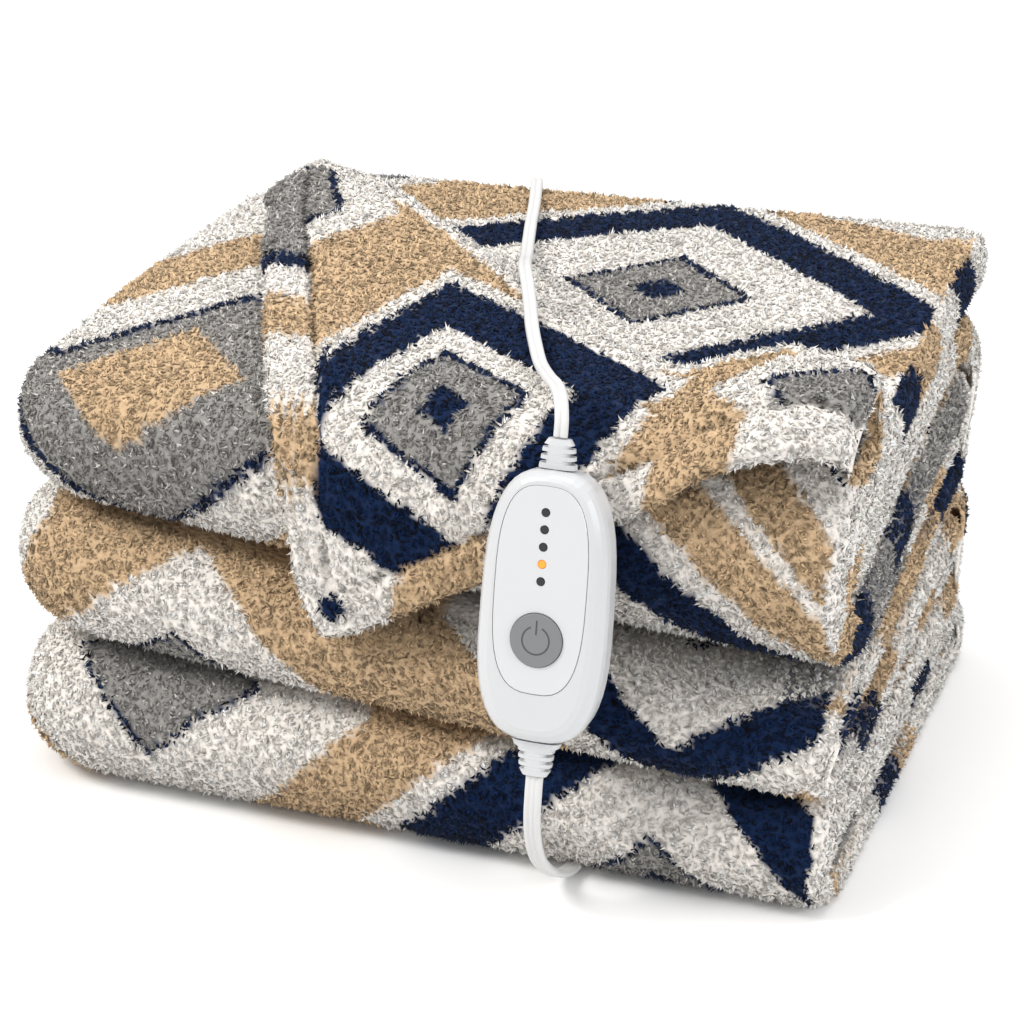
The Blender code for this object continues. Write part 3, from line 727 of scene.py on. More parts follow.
def loft_throw():
    """The throw's points and faces, and each point's region, x, s, ply and y."""
    points, tags = [], []
    for x in stations():
        a, b = section(x)
        near, far = lip(b[0], a[0], b[1], a[0]), lip(a[-1], b[-1], a[-2], a[-1])
        run = walked(a[:, :2])
        for face in (a, b):
            rest = face[:, 3] == REST
            face[rest, 4] = (run - run[TOP_START])[rest]
        ring = np.vstack([a, far, b[::-1], near])
        points.append(placed(x, ring))
        tags.append(np.column_stack([ring[:, 3], np.full(len(ring), x), ring[:, 4], ring[:, 2], ring[:, 0]]))
    count, half_lip = len(ring), len(near) // 2
    one = np.arange(count)
    after = (one + 1) % count
    band = np.stack([one, after, after + count, one + count], -1)
    faces = [band + i * count for i in range(len(points) - 1)]
    # Each end is a ladder of quads between the two faces and into both lips.
    last = len(a) + len(far) + len(b) - 1
    one = np.concatenate([np.arange(len(a) - 1 + half_lip), last + np.arange(half_lip)])
    end = np.stack([one, one + 1, last - one - 1, last - one], -1) % count
    faces += [end[:, ::-1], end + (len(points) - 1) * count]
    return np.vstack(points), np.vstack(faces)[:, ::-1], np.vstack(tags)


# --- The pattern: lozenges along the cloth ---
WHITE, TAN, GREY, NAVY = range(4)
YARN = np.array(((0.95, 0.895, 0.832), (0.67, 0.475, 0.288), (0.33, 0.315, 0.30), (0.0035, 0.0165, 0.062)))
# How much stronger each yarn shows the painted shade in the crevices between its clumps, and its tufts' random tone.
SHADE_AND_TONE_CONTRAST = np.array((1.0, 1.35, 1.1, 2.0))
CORE = ((0.3, NAVY), (0.88, GREY), (1.0, NAVY))
TAN_CORE = ((1.0, TAN),)


def ring(inner, white=1.13):
    return (inner, WHITE), (1.0, NAVY), (white, WHITE)


def grey_cell(white):
    return (0.93, GREY), (1.01, NAVY), (white, WHITE)


# Lozenges in mm, where the first that holds a point colours it: the middle across and along the cloth,
# the half widths to the left and right, the half length, the tilt in degrees, and the bands.
SHAPES = {
    FLAP: (
        (206, -121, 38, 58, 22, 0, ((0.9, GREY), (1.05, NAVY), (1.7, WHITE), (2.5, TAN))),
        (23, -140, 40, 40, 45, 21, CORE), (23, -140, 101, 101, 113, 21, ring(0.6, 1.12)),
        (-18, -235, 45, 45, 48, 0, ((1.0, WHITE),)),
        (-165, 35, 55, 55, 75, 0, grey_cell(1.6)), (23, -140, 101, 101, 113, 21, ((1.85, TAN),)),
        (-165, 35, 55, 55, 75, 0, ((2.5, TAN),)),
    ),
    TOP: (
        (66, 40, 52, 52, 42, 0, CORE), (66, 40, 230, 160, 124, 0, ring(0.7, 1.1)),
        (222, -80, 50, 50, 40, 0, grey_cell(1.95)), (-150, 175, 40, 40, 25, 0, grey_cell(1.7)),
        (60, 166, 62, 62, 14, 0, ((1.0, NAVY),)), (185, 168, 90, 90, 30, 0, ((1.0, WHITE),)),
    ),
    UPPER: (
        (-136, 3, 51, 51, 46, 0, TAN_CORE), (-124, 12, 105, 105, 95, 3, grey_cell(1.5)),
        (75, 165, 50, 50, 42, 0, CORE), (75, 165, 150, 150, 135, 0, ring(0.75)),
        (222, 0, 42, 42, 42, 0, grey_cell(1.6)), (-124, 12, 105, 105, 95, 3, ((2.1, TAN),)),
        (75, 165, 150, 150, 135, 0, ((1.4, TAN),)), (222, 0, 42, 42, 42, 0, ((2.4, TAN),)),
    ),
    MIDDLE: (
        (-213, 18, 30, 30, 62, 0, ((1.0, WHITE),)),
        (-107, 100, 50, 50, 45, 0, ((0.92, GREY), (1.0, NAVY))), (-100, 92, 88, 88, 85, 0, ((1.0, WHITE),)),
        (140, -62, 50, 50, 42, 0, CORE), (140, -62, 165, 165, 135, 0, ring(0.75, 1.2)),
        (122, 195, 50, 50, 42, 0, CORE), (122, 195, 150, 150, 135, 0, ring(0.75, 1.2)),
    ),
    LOWER: (
        (-122, 15, 51, 51, 49, 0, ((0.92, GREY), (1.0, NAVY))), (-122, 15, 110, 110, 125, 0, ((1.0, WHITE),)),
        (133, 75, 33, 33, 37, 0, CORE), (133, 75, 130, 130, 140, 0, ring(0.65)),
    ),
    REST: (
        (0, 0, 40, 40, 35, 0, CORE), (0, 0, 100, 100, 85, 0, ring(0.7, 1.2)),
        (150, 125, 60, 60, 55, 0, grey_cell(1.5)), (-150, 125, 60, 60, 55, 0, grey_cell(1.5)),
        (0, 0, 100, 100, 85, 0, ((1.6, TAN),)),
    ),
}
TAN_GROUND = (TOP, MIDDLE, LOWER)  # where tan lies between the lozenges, and not white
LATTICE = (300, 250)  # mm from one navy cell to the next, across and along, where the cloth is hidden
CREST = 5 * MM  # the white band at the fold over the back
HEM_LEFT, HEM_LOW = 21 * MM, 16 * MM
HEM_TURN = -30 * MM  # where the flap's side hem gives way to its lower hem
# The hems' own colours, as (up to, colour) in mm: along the side hem by s, along the lower hem by x.
HEM_LEFT_BANDS = ((-185, WHITE), (-150, TAN), (-100, WHITE), (-62, TAN), (-35, WHITE), (-20, NAVY),
                  (400, GREY))
HEM_LOW_BANDS = ((12, WHITE), (55, TAN), (125, WHITE), (165, TAN), (400, WHITE))
HEM_BLEND = 8 * MM  # over how much of x the hem's width changes
TIP_DOT = (-18.5, -239, 6.2)  # x, s and size in mm
GROOVE = 2.5 * MM
END_BAND, END_PATCH = 6 * MM, 40 * MM  # how far in the right end's own patches reach, and their length
END_SHIFT = 5.3  # how far apart two plies' patches may start, in patches
END_WHITE = -138 * MM  # in front of this the right end is white
END_SHARES = ((0.46, WHITE), (0.66, NAVY), (0.88, TAN), (1.01, GREY))
FINE_WAVER, BROAD_WAVER, END_WAVER = 3.2 * MM, 9 * MM, 6 * MM  # how long the wavers of an edge are
GROUND_JITTER, TUFT_JITTER = 1.0 * MM, 0.8 * MM  # and how far they go
LIGHT_FLECKS, DARK_FLECKS = 0.16, 0.18  # the shares of grey tufts


def hashed(cells, seed):
    """A number from 0 to 1 for each row of whole numbers."""
    mixed = np.full(len(cells), seed, np.uint64)
    for column, factor in zip(cells.T, (73856093, 19349663, 83492791)):
        whole = column.astype(np.int64).astype(np.uint64)
        mixed = (mixed ^ (whole * np.uint64(factor))) * np.uint64(0x9E3779B1)
        mixed ^= mixed >> np.uint64(15)
    return (mixed & np.uint64(0xFFFFF)).astype(float) / 0xFFFFF


def clouds(points, size, seed):
    """Smooth noise from -1 to 1 over rows of two or three coordinates."""
    at = points / size
    low = np.floor(at)
    share = at - low
    share = share * share * (3 - 2 * share)
    total = np.zeros(len(points))
    for step in np.ndindex(*(2,) * points.shape[1]):
        weight = np.prod(np.where(np.array(step), share, 1 - share), axis=1)
        total += weight * hashed(low + np.array(step), seed)
    return 2 * total - 1


def edge_distance(x, s):
    """How far points of the flap lie from its free edge, along the cloth."""
    line = np.array(FREE_EDGE, float) * MM
    near = np.full(len(x), np.inf)
    for a, b in zip(line, line[1:]):
        way = b - a
        t = np.clip(((x - a[0]) * way[0] + (s - a[1]) * way[1]) / (way @ way), 0, 1)
        near = np.minimum(near, np.hypot(x - a[0] - t * way[0], s - a[1] - t * way[1]))
    return near


def pick(bands, value):
    """The colour of the first band that a value lies under."""
    limits, colours = np.array(bands, float).T
    return colours[np.minimum(np.searchsorted(limits, value), len(bands) - 1)].astype(int)


def wrapped(value, period):
    """A value moved by whole periods to where it lies nearest 0."""
    return (value + period / 2) % period - period / 2


def shape_colours(region, x, s):
    """The yarn's number by the shapes of one region, at x and s in mm."""
    if region == REST:
        x, s = wrapped(x, LATTICE[0]), wrapped(s, LATTICE[1])
    yarn = np.full(len(x), TAN if region in TAN_GROUND else WHITE)
    free = np.ones(len(x), bool)
    for middle_x, middle_s, left, right, along, tilt, bands in SHAPES[region]:
        c, n = math.cos(math.radians(tilt)), math.sin(math.radians(tilt))
        u = (x - middle_x) * c + (s - middle_s) * n
        v = (s - middle_s) * c - (x - middle_x) * n
        if region == REST:
            v = wrapped(v, LATTICE[1])
        away = np.abs(u) / np.where(u < 0, left, right) + np.abs(v) / along
        hit = free & (away < bands[-1][0])
        yarn[hit] = pick(bands, away[hit])
        free &= ~hit
    return yarn


def draw_hems(yarn, x, s):
    """Draws the crest, the hems and the dot at the tip of the turned-over corner."""
    yarn[s > table(FOLD_LINE, x) - CREST] = WHITE
    near = edge_distance(x, s)
    side = (near < HEM_LEFT) & (x < HEM_TURN)
    low = (near < HEM_LOW) & (x >= HEM_TURN)
    yarn[side] = pick(HEM_LEFT_BANDS, s[side] / MM)
    yarn[low] = pick(HEM_LOW_BANDS, x[low] / MM)
    yarn[np.hypot(x / MM - TIP_DOT[0], s / MM - TIP_DOT[1]) < TIP_DOT[2]] = NAVY


def pattern(tags, jitter):
    """The yarn's number at each point, from rows of region, x, s, ply and y. Its edges waver."""
    flat = tags[:, 1:3]

    def waver(fine_seed, broad_seed):
        return jitter * (clouds(flat, FINE_WAVER, fine_seed) + 0.8 * clouds(flat, BROAD_WAVER, broad_seed))

    x, s = tags[:, 1] + waver(11, 12), tags[:, 2] + waver(13, 14)
    yarn = np.zeros(len(tags), int)
    for region in SHAPES:
        mine = np.flatnonzero(tags[:, 0] == region)
        colour = shape_colours(region, x[mine] / MM, s[mine] / MM)
        if region == FLAP:
            draw_hems(colour, x[mine], s[mine])
        yarn[mine] = colour
    band = HALF_WIDTH - END_BAND + 2 * jitter * clouds(flat, BROAD_WAVER, 15)
    end = np.flatnonzero((tags[:, 1] > band) & (tags[:, 3] < TURNED - 0.5))
    ply, y = np.round(tags[end, 3]), tags[end, 4]
    wavering = y + 3 * jitter * clouds(tags[end, 3:5], END_WAVER, 16)
    cell = np.floor(wavering / END_PATCH + END_SHIFT * hashed(ply[:, None], 17))
    patch = pick(END_SHARES, hashed(np.column_stack([ply, cell]), 18))
    yarn[end] = np.where(y < END_WHITE, WHITE, patch)
    return yarn


def groove_depth(tags):
    """How near each point is to the flap's hem stitching, from 0 to 1."""
    depth = np.zeros(len(tags))
    mine = np.flatnonzero(tags[:, 0] == FLAP)
    x, s = tags[mine, 1], tags[mine, 2]
    wide = np.interp(x, (HEM_TURN - HEM_BLEND, HEM_TURN + HEM_BLEND), (HEM_LEFT, HEM_LOW))
    depth[mine] = np.exp(-(((edge_distance(x, s) - wide) / GROOVE) ** 2))
    return depth


# --- The throw and its pile ---
THROW_FLAT = (1.27, 1.52)
GROOVE_DEEP, GROUND_UNEVEN, GROUND_CLOUD = 3 * MM, 0.5 * MM, 14 * MM
GROUND_PAINTED_SHADE = 0.8  # painted shade: the woven ground is darkened as if in the pile's shadow
GROUND_LOW, TIP_LOW, TUFT_LOW = 0.4 * MM, 0.3 * MM, 0.1 * MM  # how near each may come to the floor

PILE_PIECES, TUFTS = 4, 64000  # how many pieces of pile, and the tufts in each
TUFT_LONG, TUFT_WIDE = (2.3 * MM, 3.8 * MM), (0.95 * MM, 1.55 * MM)
TUFT_RISE, TUFT_FOOT = 0.62, 0.12  # how far it stands up, and how far along it its feet are
TUFT_STRAY = 0.6 * MM
TUFT_ROUND = 0.7  # how far its shading turns round it, away from the cloth's
CLUMP = 4.9 * MM
CLUMP_PULL, CLUMP_SWIRL = 0.85, 0.7  # how far tufts lean to their clump's middle, and round it
CREVICE = 0.9 * MM  # how wide the border between two clumps is
LOOK_FROM, FREE_AIR = 0.5 * MM, 5 * MM  # a face with less room in front of it grows no pile
FLOOR_NEAR, LOOKS_DOWN = 1.5 * MM, -0.3  # nor does one that lies on the floor
UNSEEN, UNSEEN_SHARE = -0.15, 0.55  # a face that looks further away than this has so much less pile
TAG_STEP = 12 * MM  # a quad whose two sides are further apart in s shows different cloth on each
# Shares of a tuft's colour: darkened by painted shade at its feet, brightened by painted light at its tip.
PAINTED_SHADE_ROOT, PAINTED_LIGHT_TIP = 0.84, 1.06
# How much shorter a tuft is, and how much painted shade darkens it, in a crevice, at its clump's rim and along the
# hem's stitching.
CREVICE_SHORT, RIM_SHORT, GROOVE_SHORT = 0.35, 0.15, 0.85
CREVICE_PAINTED_SHADE, RIM_PAINTED_SHADE, GROOVE_PAINTED_SHADE = 0.42, 0.12, 0.4

# The solids that no tuft may touch, how near a tuft is looked at, and how much room it leaves.
HARD_SOLIDS = ("controller_front_shell", "controller_back_shell", "relief_top", "relief_bottom",
               "mains_lead", "blanket_lead")
NEAR_SOLID, CLEAR_OF_SOLID = 8 * MM, 0.6 * MM


def face_normals(points, faces):
    """Each quad's outward normal, as long as its area."""
    a, b, c, d = (points[faces[:, i]] for i in range(4))
    return np.cross(c - a, d - b) / 2


def point_normals(points, faces):
    """Each point's outward normal."""
    total = np.zeros_like(points)
    for i in range(4):
        np.add.at(total, faces[:, i], face_normals(points, faces))
    return unit(total)


def pile_weight(points, faces):
    """How much pile each face grows: less where it isn't seen, none without air in front."""
    normals = face_normals(points, faces)
    area, out = np.linalg.norm(normals, axis=1), unit(normals)
    tree = BVHTree.FromPolygons(points.tolist(), faces.tolist())
    starts = points[faces].mean(axis=1) + out * LOOK_FROM
    free = np.zeros(len(faces), bool)
    for i, (start, way) in enumerate(zip(starts.tolist(), out.tolist())):
        on_floor = start[2] <= FLOOR_NEAR and way[2] <= LOOKS_DOWN
        free[i] = not on_floor and tree.ray_cast(start, way, FREE_AIR)[0] is None
    towards = Vector((math.sin(CAMERA_TURN), -math.cos(CAMERA_TURN), 0.4)).normalized()
    return area * free * np.where(out @ np.array(towards) > UNSEEN, 1.0, UNSEEN_SHARE)


def keep_clear(roots, tips):
    """Which tufts stand clear of the controller and the leads."""
    boxes = np.array([[tuple(corner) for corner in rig.box(name)] for name in HARD_SOLIDS])
    low, high = boxes[:, 0].min(axis=0) - NEAR_SOLID, boxes[:, 1].max(axis=0) + NEAR_SOLID
    trees = []
    for name in HARD_SOLIDS:
        data = NODES[name].data
        trees.append(BVHTree.FromPolygons([v.co for v in data.vertices],
                                          [tuple(face.vertices) for face in data.polygons]))
    keep = np.ones(len(roots), bool)
    for i in np.flatnonzero(np.all((roots > low) & (roots < high), axis=1)):
        for tree in trees:
            place, normal, _, away = tree.find_nearest(tips[i].tolist(), NEAR_SOLID)
            if place is not None and (away < CLEAR_OF_SOLID or (Vector(tips[i]) - place).dot(normal) < 0):
                keep[i] = False
                break
    return keep


def nearest_clump(roots):
    """The scattered point that each tuft leans to, as its cell and place, and the crevice's share."""
    low = np.floor(roots / CLUMP - 0.5)
    best, cells, centres = np.full(len(roots), np.inf), low.copy(), roots.copy()
    next_best = best.copy()
    for step in np.ndindex(2, 2, 2):
        cell = low + np.array(step)
        centre = (cell + np.stack([hashed(cell, 21 + i) for i in range(3)], 1)) * CLUMP
        away = np.sqrt(((centre - roots) ** 2).sum(1))
        closer = away < best
        next_best = np.where(closer, best, np.minimum(next_best, away))
        best[closer], cells[closer], centres[closer] = away[closer], cell[closer], centre[closer]
    return cells, centres, np.exp(-(((next_best - best) / CREVICE) ** 2))


def tags_within(tags, corners, u, v):
    """The tags at places in quads, never mixed from cloth of two regions or two cells."""
    first = (1 - u) * tags[corners[:, 0]] + u * tags[corners[:, 1]]
    second = (1 - u) * tags[corners[:, 3]] + u * tags[corners[:, 2]]
    regions = tags[corners[:, 0], 0], tags[corners[:, 3], 0]
    apart = (regions[0] != regions[1]) | (np.abs(first[:, 2] - second[:, 2]) > TAG_STEP)
    share = np.where(apart[:, None], v > 0.5, v)
    tag = (1 - share) * first + share * second
    tag[:, 0] = np.where(share[:, 0] > 0.5, regions[1], regions[0])
    return tag


def tuft_mesh(name, root, tip, side, up, material):
    """Tufts in one mesh, each with three feet and a tip, softly shaded."""
    other = np.cross(unit(tip - root), side)
    low = root + TUFT_FOOT * (tip - root)
    spread = np.stack([side, 0.87 * other - 0.5 * side, -0.87 * other - 0.5 * side, 0 * side], 1)
    verts = (np.stack([low, low, low, tip], 1) + spread).reshape(-1, 3)
    verts[:, 2] = np.maximum(verts[:, 2], TUFT_LOW)
    sides = np.arange(len(root))[:, None] * 4 + (0, 1, 3, 1, 2, 3, 2, 0, 3)
    made = from_arrays(name, verts, sides.reshape(-1, 3), material)
    soft = unit(up[:, None] + TUFT_ROUND * spread / np.linalg.norm(side, axis=1)[:, None, None])
    lie = made.data.attributes.new("lie", "FLOAT_VECTOR", "POINT")
    lie.data.foreach_set("vector", soft.astype(np.float32).ravel())
    return made


def tuft_colours(tag, cell, rim, crevice, random):
    """The colours of each tuft: grey is flecked, and painted shade darkens the crevices, the clumps' rims, the hem's
    groove and the tufts' feet; painted light brightens their tips.
    """
    yarn = pattern(tag, TUFT_JITTER)
    base = YARN[yarn]
    fleck = random.random(len(tag))
    grey = yarn == GREY
    base = np.where((grey & (fleck < LIGHT_FLECKS))[:, None], base * 0.45 + YARN[WHITE] * 0.5, base)
    base = np.where((grey & (fleck > 1 - DARK_FLECKS))[:, None], base * 0.6, base)
    bright = random.normal(1, 0.05, len(tag)) * (0.97 + 0.1 * hashed(cell, 41))
    # Painted shade: darker in the crevices, at the clumps' rims and along the hem's groove.
    bright *= 1.08 - RIM_PAINTED_SHADE * rim - CREVICE_PAINTED_SHADE * crevice
    bright = (1 + (bright - 1) * SHADE_AND_TONE_CONTRAST[yarn]) * (1 - GROOVE_PAINTED_SHADE * groove_depth(tag))
    base = np.clip(base * bright[:, None], 0, 0.96)
    # Painted shade at each tuft's three feet, painted light at its tip.
    shade = np.array((*[PAINTED_SHADE_ROOT] * 3, PAINTED_LIGHT_TIP))[:, None]
    return np.clip(base[:, None] * shade, 0, 0.97).reshape(-1, 3)


def grow_pile(points, faces, tags, normals, weight, material, seed):
    """One piece of the pile: pointed tufts that lean together in small clumps."""
    random = np.random.default_rng(seed)
    count = TUFTS // 6 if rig.quick() else TUFTS
    corners = faces[np.sort(random.choice(len(faces), count, p=weight / weight.sum()))]
    u, v = random.random((2, count, 1))
    shares = ((1 - u) * (1 - v), u * (1 - v), u * v, (1 - u) * v)
    root = sum(w * points[corners[:, i]] for i, w in enumerate(shares))
    up = unit(sum(w * normals[corners[:, i]] for i, w in enumerate(shares)))
    tag = tags_within(tags, corners, u, v)

    cell, centre, crevice = nearest_clump(root)
    pull = centre - root
    pull -= (pull * up).sum(1)[:, None] * up
    rim = np.clip(np.linalg.norm(pull, axis=1) / (0.62 * CLUMP), 0, 1.2) ** 2
    lean = CLUMP_PULL * pull + CLUMP_SWIRL * np.cross(up, pull) + random.normal(0, TUFT_STRAY, (count, 3))
    full = 0.85 + 0.3 * hashed(cell, 31) - RIM_SHORT * rim - CREVICE_SHORT * crevice
    full *= 1 - GROOVE_SHORT * groove_depth(tag)
    long = random.uniform(*TUFT_LONG, (count, 1)) * full[:, None]
    tip = root + up * long * TUFT_RISE + lean
    tip[:, 2] = np.maximum(tip[:, 2], TIP_LOW)
    side = unit(np.cross(unit(tip - root), random.normal(0, 1, (count, 3))))
    side *= random.uniform(*TUFT_WIDE, (count, 1)) / 2

    keep = keep_clear(root, tip)
    made = tuft_mesh(f"pile_{seed}", root[keep], tip[keep], side[keep], up[keep], material)
    paint(made.data, tuft_colours(tag[keep], cell[keep], rim[keep], crevice[keep], random))
    return attach(made, "throw", "plush")


def make_throw():
    """The throw: its woven ground, and the pile grown on every face that shows."""
    points, faces, tags = loft_throw()
    normals = point_normals(points, faces)
    inset = INSET + GROOVE_DEEP * groove_depth(tags) + GROUND_UNEVEN * clouds(points, GROUND_CLOUD, 5)
    points = points - normals * inset[:, None]
    points[:, 2] = np.maximum(points[:, 2], GROUND_LOW)
    ground = from_arrays("throw_ground", points, faces, yarn_material("plush_ground", 0.95, curl_mm=3.4))
    # The ground's colour is darkened by painted shade from the pile over it.
    paint(ground.data, YARN[pattern(tags, GROUND_JITTER)] * GROUND_PAINTED_SHADE)
    attach(ground, "throw", "plush", "blanket")

    weight = pile_weight(points, faces)
    material = yarn_material("plush_pile", 0.9)
    pile = [grow_pile(points, faces, tags, normals, weight, material, seed)
            for seed in range(1, PILE_PIECES + 1)]
    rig.sheet(ground, flat=THROW_FLAT, held="folded", rests_on=[], with_pieces=pile)


# --- The leads ---
MAINS_LENGTH, MAINS_WIDTH, MAINS_THICK, MAINS_WEB = 1.67, 6.6 * MM, 3.4 * MM, 2.0 * MM
BLANKET_LEAD_WIDTH, BLANKET_LEAD_THICK, BLANKET_LEAD_WEB = 8.2 * MM, 3.6 * MM, 2.2 * MM
MAINS_ROUTE = (
    (90.2, -171.2, 226.5), (90.1, -169.4, 233.4), (87, -161.5, 239), (80.5, -148, 240.2), (71, -132, 238.2),
    (60, -112, 236.4), (51, -93.5, 238.2), (43, -76, 241), (35.5, -57.6, 244.2), (27.5, -38.7, 247.6),
    (19.5, -20, 248.6), (9.5, 8, 243), (0, 36, 235.2), (-9.5, 65, 232.4), (-18.5, 95, 234.4),
    (-27, 124.5, 236.2), (-35, 150, 237.8), (-40.5, 166.5, 235.8), (-43.8, 176.6, 226), (-45, 178.4, 208),
    (-45.5, 176, 182), (-46, 171.5, 145), (-46, 170, 100), (-46, 170, 60), (-46, 172, 30), (-46.5, 179, 13),
    (-48.3, 187, 5.5), (-49.6, 192.3, 4.2),
)
BLANKET_ROUTE = (
    (90.2, -203.1, 76.8), (90, -204.6, 67), (89, -203, 54), (88, -198, 40), (87.5, -190, 27),
    (88, -179, 16), (89.5, -168, 8), (91, -157.5, 4.4), (91.8, -152.5, 4.6),
)
TAIL_ROUTE = ((-2, 263.2, 8.9), (7, 261.4, 8.2), (16.3, 260, 7.3), (22.4, 260, 7.2), (28.2, 260, 7.2))
COIL_MIDDLE = (-14, 224)
# The coil: turns made so far, radius and height in mm.
COIL_TURNS = (
    (0, 47.7, 4.2), (0.1, 43.2, 2.8), (0.22, 39.5, 1.9), (0.93, 39.5, 1.9), (1.07, 32.4, 1.9),
    (1.93, 32.4, 1.9), (2.07, 32.4, 5.5), (2.9, 32.4, 5.5), (3.04, 39.5, 5.5), (3.86, 39.5, 5.5),
    (4.0, 39.4, 9.1), (4.33, 39.4, 9.1),
)
COIL_FROM = math.radians(221.7)
COIL_POINTS, ROUTE_STEPS = 96, 24
LEAD_STEP = 3.4 * MM
LEAD_SMOOTH = 50
# Which way a flat lead's outer face looks, from its first point to its last.
MAINS_LOOKS = (
    (0, (0, -1, 0.1)), (0.012, (0, -0.8, 0.6)), (0.03, (0, 0, 1)), (0.235, (0, 0, 1)), (0.26, (0, 1, 0.4)),
    (0.275, (0, 1, 0)), (0.375, (0, 1, 0.2)), (0.4, (0, 0, 1)),
)
BLANKET_LOOKS = ((0, (0, -1, 0)), (0.5, (0, -1, -0.4)), (1, (0, -0.3, -1)))

PLUG_AT = (28, 260, 7.2)
# The plug, in mm: how far along, half width and half height.
PLUG_PROFILE = (
    (0, 3.4, 2.6), (0.5, 3.9, 3.3), (2, 4.1, 3.5), (2.2, 3.5, 2.9), (3.4, 3.5, 2.9), (3.6, 4.4, 3.9),
    (5.2, 4.5, 4.1), (5.4, 3.8, 3.3), (6.6, 3.8, 3.3), (6.8, 4.8, 4.6), (9, 5, 5), (11, 6.8, 5.8),
    (13, 9.5, 6.5), (15, 10.9, 6.9), (17, 11.4, 7.0), (19, 11.3, 6.8), (20, 10.7, 6.4), (21, 11.4, 6.9),
    (22, 10.8, 6.4), (23, 11.5, 6.9), (24, 10.9, 6.4), (25, 11.6, 6.9), (26.4, 11.8, 7.0),
    (30.6, 11.8, 7.0), (31.8, 11.6, 6.8), (32.6, 11, 6.3),
)
PLUG_SQUARE, OUTLINE_POINTS = 3, 40

# The band round the coil, in mm: where it is, half its inside, and across it, how thick it is.
TIE_TURN, TIE_AWAY, TIE_HEIGHT = math.radians(-38), 36, 5.7
TIE_WIDE, TIE_HIGH, TIE_SQUARE = 7.9, 5.6, 3.4
TIE_PROFILE = ((-4.2, 0.1), (-4.0, 0.5), (-2.6, 0.75), (0, 0.8), (2.6, 0.75), (4.0, 0.5), (4.2, 0.1))


def smooth_route(points):
    """Points a step apart on one smooth curve through a route's own points, in mm."""
    knots = np.array(points, float) * MM
    ends = np.vstack([2 * knots[0] - knots[1], knots, 2 * knots[-1] - knots[-2]])
    dense = [knots[0]]
    for i in range(1, len(ends) - 2):
        a, b, c, d = ends[i - 1 : i + 3]
        for t in np.linspace(0, 1, ROUTE_STEPS + 1)[1:]:
            dense.append(0.5 * (2 * b + (c - a) * t + (2 * a - 5 * b + 4 * c - d) * t**2
                                + (3 * b - a - 3 * c + d) * t**3))
    along = walked(dense)
    wanted = np.linspace(0, along[-1], round(along[-1] / LEAD_STEP) + 1)
    return read_columns(wanted, along, dense) - ORIGIN


def coil_route():
    """The coil's points, in mm: clockwise, in two columns of three layers."""
    turns, radius, height = np.array(COIL_TURNS).T
    made = np.linspace(0, turns[-1], COIL_POINTS)
    angle = COIL_FROM - 2 * math.pi * made
    r, z = np.interp(made, turns, radius), np.interp(made, turns, height)
    return np.column_stack([COIL_MIDDLE[0] + r * np.cos(angle), COIL_MIDDLE[1] + r * np.sin(angle), z])


def lobes(width, thick, count, web):
    """A flat lead's section: cores side by side, with a web between them."""
    radius = thick / 2
    across = np.linspace(-(width / 2 - radius), width / 2 - radius, count)
    xs = np.linspace(-width / 2, width / 2, 8 * count + 1)
    heights = np.max([np.sqrt(np.clip(radius**2 - (xs - c) ** 2, 0, None)) for c in across], axis=0)
    inner = (xs > across[0]) & (xs < across[-1])
    heights = np.where(inner, np.maximum(heights, web / 2), heights)
    return np.array([*zip(xs, heights), *zip(xs[-2:0:-1], -heights[-2:0:-1])])


def make_lead(name, points, ring, looks, material, *nodes):
    """A flat lead, in place of its nodes: its section swept along its points."""
    way = unit(np.gradient(points, axis=0))
    share = np.linspace(0, 1, len(points))
    face = read_columns(share, *zip(*looks))
    side = unit(np.cross(face, way))
    face = np.cross(way, side)
    rings = [[p + u * s + v * f for u, v in ring] for p, s, f in zip(points, side, face)]
    return attach(lofted(name, material, LEAD_SMOOTH, rings), "throw", "white_lead", *nodes)


def lay_cord(lead, points, length, width, **facts):
    """Says how a lead lies along its points."""
    path = [tuple(p) for p in points]
    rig.cord(lead, exit=path[0], length=length, diameter=width, stiffness="medium", path=path, **facts)


def rounded(wide, high, square):
    """A rounded outline, from its half sizes in mm, as rows of two coordinates in metres."""
    angle = 2 * math.pi * np.arange(OUTLINE_POINTS) / OUTLINE_POINTS
    c, s = np.cos(angle), np.sin(angle)
    return np.column_stack([wide * np.sign(c) * np.abs(c) ** (2 / square),
                            high * np.sign(s) * np.abs(s) ** (2 / square)]) * MM


def make_plug():
    """The moulded plug, with its slotted relief and ribbed grip."""
    material = moulded("plug_shell", (0.72, 0.72, 0.715), 0.38, 0.6, 0.05)
    start = np.array(PLUG_AT) * MM - ORIGIN
    rings = [[start + (along * MM, u, v) for u, v in rounded(wide, high, PLUG_SQUARE)]
             for along, wide, high in PLUG_PROFILE]
    return attach(lofted("moulded_plug", material, 50, rings), "throw", "white_plastic", "mains_plug")


def make_tie():
    """The band that holds the coil's turns together."""
    material = moulded("strap_weave", (0.045, 0.045, 0.05), 0.8, 0.7, 0.25)
    way = np.array((math.cos(TIE_TURN), math.sin(TIE_TURN), 0))
    side = np.array((-way[1], way[0], 0))
    middle = np.array((*COIL_MIDDLE, TIE_HEIGHT)) * MM - ORIGIN + way * TIE_AWAY * MM
    rings = [[middle + way * u + (0, 0, v) + side * across * MM
              for u, v in rounded(TIE_WIDE + thick, TIE_HIGH + 0.12 * thick, TIE_SQUARE)]
             for across, thick in TIE_PROFILE]
    return attach(lofted("coil_tie", material, 40, rings), "throw", "white_lead")


